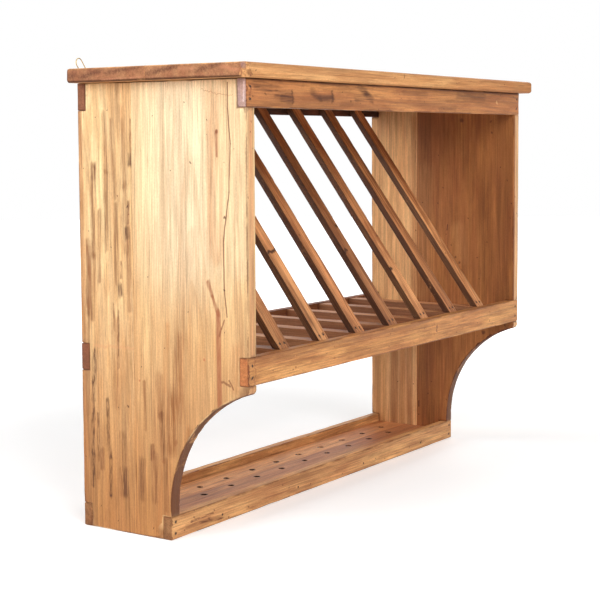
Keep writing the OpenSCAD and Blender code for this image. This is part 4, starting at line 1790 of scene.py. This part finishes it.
@dataclass
class Top:
    """The two boards of the top.

    Attributes:
        stain: the colour of the stains on its left end.
        arris: the radius of its finer arrises.
    """

    stain: Shade = (76, 40, 30)
    arris: float = 0.8

    @staticmethod
    def rim() -> Marks:
        """Returns the painted shade along the lower arris of the left end."""
        end = Face.TOP_END
        return (Mark(end.at(-30, 696.5), end.at(340, 696.5), 7.0, (66, 34, 22), 0.85, 0.4,
                     ruled=True),)

    def front_marks(self) -> Marks:
        """Returns the marks on the front board's edge and left end."""
        edge, end = Face.TOP_EDGE, Face.TOP_END
        marks = dots(edge, ((-454, 706), (-382, 700), (-247, 698), (-288, 698), (-460, 700),
                            (-57, 709), (162, 706), (248, 717), (358, 710)), 1.6)
        marks += line(edge, ((-24, 716), (-24, 709)), 1.7, WORM, 0.8)
        marks += line(edge, ((170, 708), (186, 710)), 1.1, STAIN, 0.6)
        # A dark wedge at the foot of the break: painted shade of a deeper hollow, which the mesh
        # doesn't have
        marks += (Mark(edge.at(-466, 696), edge.at(-470, 705), 6.0, (84, 44, 30), 0.8, 0.2,
                       ruled=True),)
        marks += dots(edge, ((-468, 717),), 5, (124, 78, 60), 0.6)
        marks += self.rim() + line(end, ((30, 716), (70, 707)), 13, self.stain, 0.7, 0.0, 0.55)
        return marks + strokes(end, (
            (((112, 714), (160, 706)), 13, self.stain, 0.7, 0.0, 0.55),
            (((60, 699), (150, 698)), 5, self.stain, 0.6, 0.0, 0.7),
            (((2, 706), (24, 712)), 10, (206, 136, 100), 0.5, 0.1, 0.3),
            (((80, 711), (100, 711)), 9, (204, 138, 104), 0.4, 0.1, 0.4),
            (((-16, 700), (-10, 716)), 7, (150, 116, 110), 0.7, 0.3),
        ))

    def back_marks(self) -> Marks:
        """Returns the marks on the back board's left end."""
        end = Face.TOP_END
        marks = self.rim() + line(end, ((182, 716), (240, 709)), 12, self.stain, 0.7, 0.0, 0.55)
        return marks + strokes(end, (
            (((258, 712), (292, 704)), 14, self.stain, 0.75, 0.0, 0.5),
            (((310, 706), (322, 706)), 14, (94, 54, 40), 0.7, 0.1, 0.5),
            (((175, 701), (250, 699)), 5, (206, 140, 104), 0.5, 0.1, 0.5),
        ))

    def boards(self) -> list[Board]:
        """Returns the boards."""
        shade = line(Face.TOP_EDGE, ((200, 708), (500, 708)), 90, (182, 118, 70), 0.6, 0.2)
        pockets = at_both_ends((437.7, 458.65), WIRE_POCKET_Y, (RACK_H - 1, TOP_Z + 1))
        return [
            TopBoard("top_board_front", TOP_PINE, Tree(Grain.ACROSS, 2.2, (0, -60, 655)),
                     self.arris, 30.0, tones=shade, marks=self.front_marks(), in_front=True,
                     seam=TOP_SEAM,
                     knots=(Knot((-150, -60, 718), 9.0), Knot((262, -120, 718), 7.0))),
            TopBoard("top_board_back", TOP_PINE, Tree(Grain.ACROSS, 5.9, (0, 90, 665), 0.03),
                     self.arris, 30.0, marks=self.back_marks(), housings=pockets,
                     seam=TOP_SEAM,
                     knots=(Knot((60, 90, 718), 8.0),)),
        ]


@dataclass
class Rails:
    """The six rails.

    Attributes:
        arris: the radius of their arrises.
        housing_w: the width of the housings for the base slats.
        housing_d: their depth.
    """

    arris: float = 1.1
    housing_w: float = 28.0
    housing_d: float = 4.0

    def housings(self, y: float) -> Boxes:
        """Returns the housings for the base slats in a rail whose inner face is at y."""
        ways = (y - self.housing_d, y + 1) if y < 0 else (y - 1, y + self.housing_d)
        return tuple(((x - self.housing_w / 2, ways[0], BASE_TOP_Z - BASE_H),
                      (x + self.housing_w / 2, ways[1], BASE_TOP_Z)) for x in SLAT_XS)

    @staticmethod
    def top_marks() -> Marks:
        """Returns the marks on the top front rail and on its left end, among them a painted
        shadow under the top and a painted sheen on the end.
        """
        front, end, smudge = Face.FRONT, Face.LEFT, (74, 38, 20)
        # Painted shadow along the top of the rail, under the overhang of the top
        top = (Mark(front.at(-457, 697), front.at(457, 697), 5.0, (58, 30, 18), 0.9, 0.4,
                    ruled=True),)
        top += strokes(front, (
            (((-380, 676), (-345, 668)), 15, smudge, 0.8, 0.1, 0.75),
            (((-366, 669), (-341, 666)), 9, smudge, 0.75, 0.3, 0.6),
            (((-338, 662), (-338, 680)), 3.4, smudge, 0.7, 0.3, 0.4),
            (((-284, 680), (-262, 670), (-226, 672)), 10, smudge, 0.8, 0.1, 0.65),
            (((-226, 667), (-225, 681)), 5, smudge, 0.75, 0.3, 0.4),
            (((-144, 694), (-124, 682), (-106, 672)), 10, smudge, 0.8, 0.2, 0.6),
            (((-156, 670), (-116, 676)), 9, smudge, 0.7, 0.1, 0.7),
            (((-434, 687), (-396, 682)), 12, smudge, 0.75, 0.1, 0.75),
            (((-446, 672), (-445, 684)), 3, (104, 44, 40), 0.7, 0.2, 0.6),
            (((-200, 663), (-165, 666)), 7, smudge, 0.35, 0.1, 0.5),
            (((0, 686), (80, 683)), 9, smudge, 0.35, 0.1, 0.5),
            (((200, 685), (305, 685)), 13, smudge, 0.5, 0.1, 0.4),
            (((130, 660), (190, 660)), 7, smudge, 0.35, 0.1, 0.5),
            (((-456.5, 655), (-456.5, 695)), 2.4, (92, 44, 40), 0.8, 0.2, 0.3),
        ))
        top += dots(front, ((360, 676),), 5, (232, 184, 128), 0.5)
        top += dots(front, ((-173, 668), (-408, 674)), 3.2, smudge, 0.6)
        top += dots(front, (
            (-194, 682), (-141, 665), (-46, 657), (-448, 665), (-439, 670), (-15, 682),
            (-8, 676), (74, 672), (146, 661), (-84, 656), (432, 689), (300, 690), (373, 690)),
            1.6)
        top += line(end, ((12, 694), (12, 656)), 5, (160, 128, 128), 0.6, 0.4, 0.3)
        # Painted sheen: a pale streak on the left end
        return top + line(end, ((4, 690), (5, 664)), 4, (226, 208, 204), 0.6, 0.3, 0.5)

    @staticmethod
    def middle_marks() -> Marks:
        """Returns the marks on the middle front rail."""
        front = Face.FRONT
        middle = dots(front, (
            (-340, 259), (-392, 266), (-245, 272), (-50, 260), (-42, 280), (-38, 288),
            (38, 255), (76, 277), (196, 256), (283, 264), (346, 256), (450, 244)), 1.7)
        return middle + strokes(front, (
            (((122, 276), (122, 266)), 2.4, (96, 54, 36), 0.85),
            (((-436, 288), (-300, 289)), 1.4, (150, 96, 62), 0.5),
            (((-456.5, 250), (-456.5, 290)), 2.0, (112, 44, 28), 0.85, 0.3),
            (((-440, 252), (-440, 288)), 1.2, (112, 58, 34), 0.7, 0.3, 0.4),
        ))

    @staticmethod
    def low_marks() -> Marks:
        """Returns the marks on the low front rail."""
        low = Face.LOW_FRONT
        bottom = strokes(low, (
            (((-420, 14), (-360, 12), (-330, 6)), 7, (128, 74, 44), 0.55, 0.1, 0.6),
            (((-410, 19), (-350, 20)), 3.2, (84, 44, 28), 0.8, 0.2, 0.9),
            (((-385, 12), (-310, 5)), 3.2, (84, 44, 28), 0.8, 0.2, 0.9),
            (((-260, 8), (-120, 14)), 6, (140, 84, 50), 0.5, 0.1, 0.7),
            (((-456.5, 2), (-456.5, 34)), 2.0, (104, 50, 34), 0.8, 0.3),
        ))
        bottom += dots(low, (
            (-408, 18), (-403, 24), (-361, 13), (-347, 24), (-331, 7), (-310, 4), (-256, 9)),
            2.6, (98, 58, 40), 0.75)
        return bottom + dots(low, (
            (-425, 9), (-400, 35), (-158, 25), (-138, 2), (-135, 17), (-69, 10), (34, 7),
            (153, 13), (188, 6), (282, 11), (329, 14), (142, 35), (115, 36), (342, 37)), 1.8)

    def boards(self) -> list[Board]:
        """Returns the rails, from the top front one down."""
        back = Face.BACK_INSIDE
        shade = line(Face.FRONT, ((80, 676), (480, 674)), 60, (150, 92, 52), 0.45, 0.3, 0.2)
        # The rail's back face, outside the rack, gets a lighter brown over the painted shade
        unshaded_back_face = line(Face.BACK, ((-480, 675), (480, 675)), 30, (128, 78, 50), 0.85, 0.85)
        slots = at_both_ends((441.5, 451.5), WIRE_POCKET_Y, (RACK_H - 21, RACK_H + 1))
        return [
            Board("rail_top_front", TOP_RAIL_PINE, Tree(Grain.RAIL, 3.3, (0, -120, 640)),
                  self.arris, tones=shade, marks=self.top_marks()),
            Board("rail_top_back", SHADED_BACK_RAIL_PINE, Tree(Grain.RAIL, 6.4, (0, 190, 690)),
                  self.arris, tones=unshaded_back_face, housings=slots,
                  knots=(Knot(back.at(-120, 668), 6.0),)),
            Board("rail_middle_front", MIDDLE_RAIL_PINE,
                  Tree(Grain.RAIL, 8.8, (0, -125, 300)), self.arris,
                  marks=self.middle_marks(), housings=self.housings(FRONT_Y + RAIL_T)),
            Board("rail_middle_back", DARK_PINE, Tree(Grain.RAIL, 12.1, (0, 185, 255)),
                  self.arris, housings=self.housings(BACK_Y - RAIL_T),
                  knots=(Knot(back.at(100, 283), 4.5), Knot(back.at(214, 284), 7.0),
                         Knot(back.at(324, 283), 6.0), Knot(back.at(372, 289), 3.5))),
            Board("rail_low_front", LOW_RAIL_PINE, Tree(Grain.RAIL, 14.6, (0, 20, -8)), 1.8,
                  marks=self.low_marks()),
            Board("rail_low_back", LOW_RAIL_PINE, Tree(Grain.RAIL, 17.2, (0, 140, 45)), 1.6),
        ]


@dataclass
class PlateSlats:
    """The leaning plate slats and the level base slats that they stand on.

    Attributes:
        arris: the radius of their arrises.
    """

    arris: float = 0.9

    def boards(self) -> list[Board]:
        """Returns the fourteen slats."""
        knots, made = self.knots(), []
        for number, x in enumerate(SLAT_XS, 1):
            seed = 20.0 + 1.7 * number
            side = 1 if number % 2 else -1
            made.append(LeaningSlat(
                f"plate_slat_{number}", RED_SLAT_PINE if number in (3, 4, 6) else SLAT_PINE,
                Tree(Grain.LEANING, seed, (x + 25 * side, 40, 470)), self.arris, 18.0,
                marks=knots.get(number, ())))
            made.append(Board(
                f"base_slat_{number}", BASE_PINE,
                Tree(Grain.DEEP, seed + 0.8, (x - 30 * side, 0, 240)), self.arris, 20.0))
        return made

    @staticmethod
    def knots() -> dict[int, Marks]:
        """Returns the knots that run across some plate slats, by the slat's number."""
        dark = (52, 26, 16)
        return {
            2: (Mark((-240, -35, 425), (-204, -31, 431), 4.2, dark, 0.9, 0.35),),
            3: (Mark((-103, 52, 545), None, 3.0, dark, 0.7),
                Mark((-118, -20, 446), None, 3.2, dark, 0.6)),
            4: (Mark((8, -12, 456), None, 4.5, dark, 0.85),
                Mark((-14, -44, 412), (-4, -42, 416), 4.5, dark, 0.85)),
            5: (Mark((96, -72, 374), (103, -70, 377), 4.6, dark, 0.9, 0.4),
                Mark((121, -30, 432), None, 3.0, dark, 0.6)),
            7: (Mark((327, -60, 391), None, 3.0, dark, 0.6),),
        }


@dataclass
class Tray:
    """The drip tray, two boards with two rows of drain holes.

    Attributes:
        pitch: the distance between two holes of a row.
        rows: the place of each row, counted from the front of the side panels, and the number
            of holes in it.
    """

    pitch: float = 76.2
    rows: tuple[tuple[float, int], ...] = ((267.0, 11), (229.0, 10))

    def drains(self, low: float, high: float) -> tuple[Point, ...]:
        """Returns the middles of the drain holes between two places along Y."""
        return tuple(((i - (count - 1) / 2) * self.pitch, y + FRONT_Y, sum(TRAY_LEVELS) / 2)
                     for y, count in self.rows if low < y + FRONT_Y < high
                     for i in range(count))

    def boards(self) -> list[Board]:
        """Returns the two boards."""
        tray = Face.TRAY
        band = line(tray, ((-440, 222), (440, 222)), 30, (140, 92, 78), 0.6, 0.5, 0.2)
        band += line(tray, ((330, 235), (480, 235)), 150, (174, 92, 40), 0.5, 0.3)
        front = self.drains(FOOT_Y + RAIL_T, TRAY_SEAM)
        back = self.drains(TRAY_SEAM, BACK_Y - RAIL_T)
        return [
            Board("tray_board_front", TRAY_PINE, Tree(Grain.ACROSS, 31.0, (0, 30, -20)), 0.9,
                  tones=band, marks=self.hole_shade(front), drains=front, seam=TRAY_SEAM),
            Board("tray_board_back", TRAY_PINE, Tree(Grain.ACROSS, 33.5, (0, 130, 60), 0.03),
                  0.9, tones=band, marks=self.hole_shade(back), drains=back, seam=TRAY_SEAM),
        ]

    @staticmethod
    def hole_shade(drains: tuple[Point, ...]) -> Marks:
        """Returns the painted shade on the walls and the rims of the drain holes."""
        return tuple(Mark((x, y, 0.0), (x, y, 20.0), DRAIN_R + 1.8, (40, 22, 16), 0.92, 0.82)
                     for x, y, _ in drains)


@dataclass
class Hardware:
    """The nails, the screws and the two wire loops that the rack hangs by.

    Attributes:
        nails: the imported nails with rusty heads.
        waxed: those whose heads are under old wax.
        screws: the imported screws.
        loops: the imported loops.
    """

    nails: tuple[str, ...] = ("nails_rails_front", "nails_rails_back", "nails_slat_feet",
                              "nails_slat_heads", "nails_base_back", "nails_tray", "nails_top")
    waxed: tuple[str, ...] = ("nails_base_front",)
    screws: tuple[str, ...] = ("loop_screw_left", "loop_screw_right")
    loops: tuple[str, ...] = ("hanging_loop_left", "hanging_loop_right")

    def build(self) -> None:
        """Dresses the iron, and smooths a copy of each loop."""
        iron = RUSTY_IRON.dress("rusty_iron")
        brass = OLD_BRASS.dress("old_brass")
        wax = WAXED_IRON.dress("waxed_iron")
        for node in self.nails + self.waxed + self.screws:
            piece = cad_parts[node]
            piece.data.materials.clear()
            piece.data.materials.append(wax if node in self.waxed else iron)
        for node in self.loops:
            bm = bmesh.new()
            bm.from_mesh(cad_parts[node].data)
            bmesh.ops.remove_doubles(bm, verts=bm.verts, dist=1e-6)
            bmesh.ops.scale(bm, vec=(1 / MM,) * 3, verts=bm.verts)
            piece = new_object(f"{node}_wire", bm)
            piece.data.shade_smooth()
            smooth = piece.modifiers.new("smooth", "SUBSURF")
            smooth.levels = smooth.render_levels = 1
            piece.data.materials.append(brass)
            adopt(piece, node)
        log.info("hardware: %d nodes dressed",
                 len(self.nails + self.waxed + self.screws + self.loops))


# ---- The room ----


@dataclass
class Camera:
    """The camera, where the photograph was taken from.

    Attributes:
        place: where it stands, in metres.
        yaw: its direction, in degrees from +Y towards +X.
        pitch: how far it looks down.
        roll: how far it leans.
        lens: its focal length on a sensor 36 mm wide.
        shift: how far the picture is shifted up.
    """

    place: Point = (-2.14644, -1.36396, 0.60443)
    yaw: float = 56.457
    pitch: float = 4.589
    roll: float = -0.302
    lens: float = 86.747
    shift: float = -0.0706

    def build(self) -> None:
        """Adds the camera to the scene."""
        yaw, pitch, roll = (math.radians(a) for a in (self.yaw, self.pitch, self.roll))
        ahead = Vector((math.sin(yaw) * math.cos(pitch), math.cos(yaw) * math.cos(pitch),
                        -math.sin(pitch)))
        right = Vector((math.cos(yaw), -math.sin(yaw), 0))
        up = right.cross(ahead)
        right, up = (math.cos(roll) * right + math.sin(roll) * up,
                     math.cos(roll) * up - math.sin(roll) * right)
        data = bpy.data.cameras.new("camera")
        data.lens, data.sensor_width, data.shift_y = self.lens, 36.0, self.shift
        data.clip_end = 100.0
        camera = bpy.data.objects.new("camera", data)
        turn = Matrix((right, up, -ahead)).transposed()
        camera.matrix_world = Matrix.Translation(self.place) @ turn.to_4x4()
        bpy.context.scene.collection.objects.link(camera)
        bpy.context.scene.camera = camera


@dataclass(frozen=True)
class Lamp:
    """A square soft lamp aimed at the rack.

    Attributes:
        name: its name.
        place: where it stands, in metres.
        size: the length of its side.
        power: its power in watts.
        colour: its colour.
    """

    name: str
    place: Point
    size: float
    power: float
    colour: tuple[float, float, float] = (1.0, 1.0, 1.0)

    def build(self, aim: Vector) -> None:
        """Adds the lamp, turned towards a point.

        Args:
            aim: the point, in metres.
        """
        data = bpy.data.lights.new(self.name, "AREA")
        data.size, data.energy, data.color = self.size, self.power, self.colour
        lamp = bpy.data.objects.new(self.name, data)
        turn = (aim - Vector(self.place)).to_track_quat("-Z", "Y").to_matrix().to_4x4()
        lamp.matrix_world = Matrix.Translation(self.place) @ turn
        bpy.context.scene.collection.objects.link(lamp)


@dataclass
class Studio:
    """The floor, the light and the white surroundings.

    Attributes:
        floor_r: the radius of the floor, in metres.
        foot_inset: how far inside the rack's foot the floor stops letting light through.
        sky: the strength of the light from all round.
        aim: the point that the lamps are turned to, in metres.
        lamps: the lamps.
    """

    floor_r: float = 9.0
    foot_inset: float = 7.0
    sky: float = 0.25
    aim: Point = (0.0, 0.0, 0.38)
    lamps: tuple[Lamp, ...] = (
        Lamp("side", (-2.6, 0.45, 1.5), 1.3, 34.0),
        Lamp("front", (-1.8, -3.2, 2.6), 2.6, 148.0),
        Lamp("behind", (-1.3, 3.2, 1.9), 1.6, 42.0),
        Lamp("right", (2.6, 0.5, 1.6), 1.4, 22.0),
    )

    def build(self) -> None:
        """Adds the floor, the lamps and the world."""
        self.lay_floor()
        self.light_world()
        for lamp in self.lamps:
            lamp.build(Vector(self.aim))
        bpy.context.scene.view_settings.view_transform = "Standard"

    @staticmethod
    def seen(bench: Bench) -> Socket:
        """Tells the rays that show the surroundings themselves from others.

        Args:
            bench: the material's bench.

        Returns:
            1 for those rays, and 0 for others.
        """
        path = bench.add("ShaderNodeLightPath").outputs
        some = bench.math("MAXIMUM", path["Is Camera Ray"], path["Is Glossy Ray"])
        return bench.math("MAXIMUM", some, path["Is Transmission Ray"])

    def lay_floor(self) -> None:
        """Adds a round pale floor that shows white and keeps the rack's shadow.

        It isn't there for an eye below it, nor for the light on what stands on it.
        """
        bm = bmesh.new()
        bmesh.ops.create_circle(bm, cap_ends=True, segments=96, radius=self.floor_r / MM)
        bmesh.ops.translate(bm, vec=(0, 0, -0.3), verts=bm.verts)
        floor = new_object("floor", bm)
        if floor.data.polygons[0].normal.z < 0:
            floor.data.flip_normals()
        material, bench = blank_material("pale_floor")
        place = bench.add("ShaderNodeTexCoord").outputs["Object"]
        mottle = bench.spread(bench.noise(place, (2.0, 2.0, 2.0)), 0.0, 1.0, 0.86, 0.90)
        colour = bench.add("ShaderNodeCombineColor", Red=mottle, Green=mottle, Blue=mottle)
        surface = bench.add("ShaderNodeBsdfPrincipled", Base_Color=colour.outputs[0],
                            Roughness=0.9)
        away = bench.vector("LENGTH", place)
        glow = bench.math("MULTIPLY", self.seen(bench), bench.math(
            "MULTIPLY_ADD", bench.rise(away, 0.7, 2.4), 0.8, 0.25))
        foot = bench.vector("SUBTRACT", place, (0.0, (BACK_Y + FOOT_Y) / 2 * MM, 0.0))
        reach = ((HALF_W - self.foot_inset) * MM,
                 ((BACK_Y - FOOT_Y) / 2 - self.foot_inset) * MM, 0.0)
        beyond = bench.add("ShaderNodeSeparateXYZ", Vector=bench.vector(
            "SUBTRACT", bench.vector("ABSOLUTE", foot), reach)).outputs
        beyond = bench.math("MAXIMUM", beyond[0], beyond[1])
        glow = bench.math("MULTIPLY", glow, bench.rise(beyond, -0.005, 0.005))
        surface.inputs["Emission Color"].default_value = (1, 1, 1, 1)
        bench.feed(surface.inputs["Emission Strength"], glow)
        hidden = bench.math("MULTIPLY", bench.math("LESS_THAN", beyond, 0.0), bench.add(
            "ShaderNodeLightPath").outputs["Is Diffuse Ray"])
        hidden = bench.math("MAXIMUM", hidden, bench.add(
            "ShaderNodeNewGeometry").outputs["Backfacing"])
        floor_look = bench.add("ShaderNodeMixShader", Fac=hidden)
        bench.feed(floor_look.inputs[1], surface.outputs[0])
        bench.feed(floor_look.inputs[2], bench.add("ShaderNodeBsdfTransparent").outputs[0])
        bench.add("ShaderNodeOutputMaterial", Surface=floor_look.outputs[0])
        floor.data.materials.append(material)

    def light_world(self) -> None:
        """Makes the world white where it is seen, and a softer white as a light."""
        world = bpy.data.worlds.new("white_room")
        bpy.context.scene.world = world
        world.use_nodes = True
        world.node_tree.nodes.clear()
        bench = Bench(world.node_tree)
        strength = bench.math("MULTIPLY_ADD", self.seen(bench), 1.0 - self.sky, self.sky)
        light = bench.add("ShaderNodeBackground", Strength=strength)
        light.inputs["Color"].default_value = (1, 1, 1, 1)
        bench.add("ShaderNodeOutputWorld", Surface=light.outputs[0])


def main() -> None:
    """Builds the room and the rack."""
    logging.basicConfig(level=logging.INFO, format="%(message)s")
    Camera().build()
    Studio().build()
    groups = Groups(grain_group(), knot_group(), dot_group(), stroke_group(), wear_group())
    nails = rack_nails()
    for part in (SidePanels(), Top(), Rails(), PlateSlats(), Tray()):
        for board in part.boards():
            board.build(groups, nails)
        log.info("%s done", type(part).__name__)
    Hardware().build()


if __name__ == "__main__":
    main()
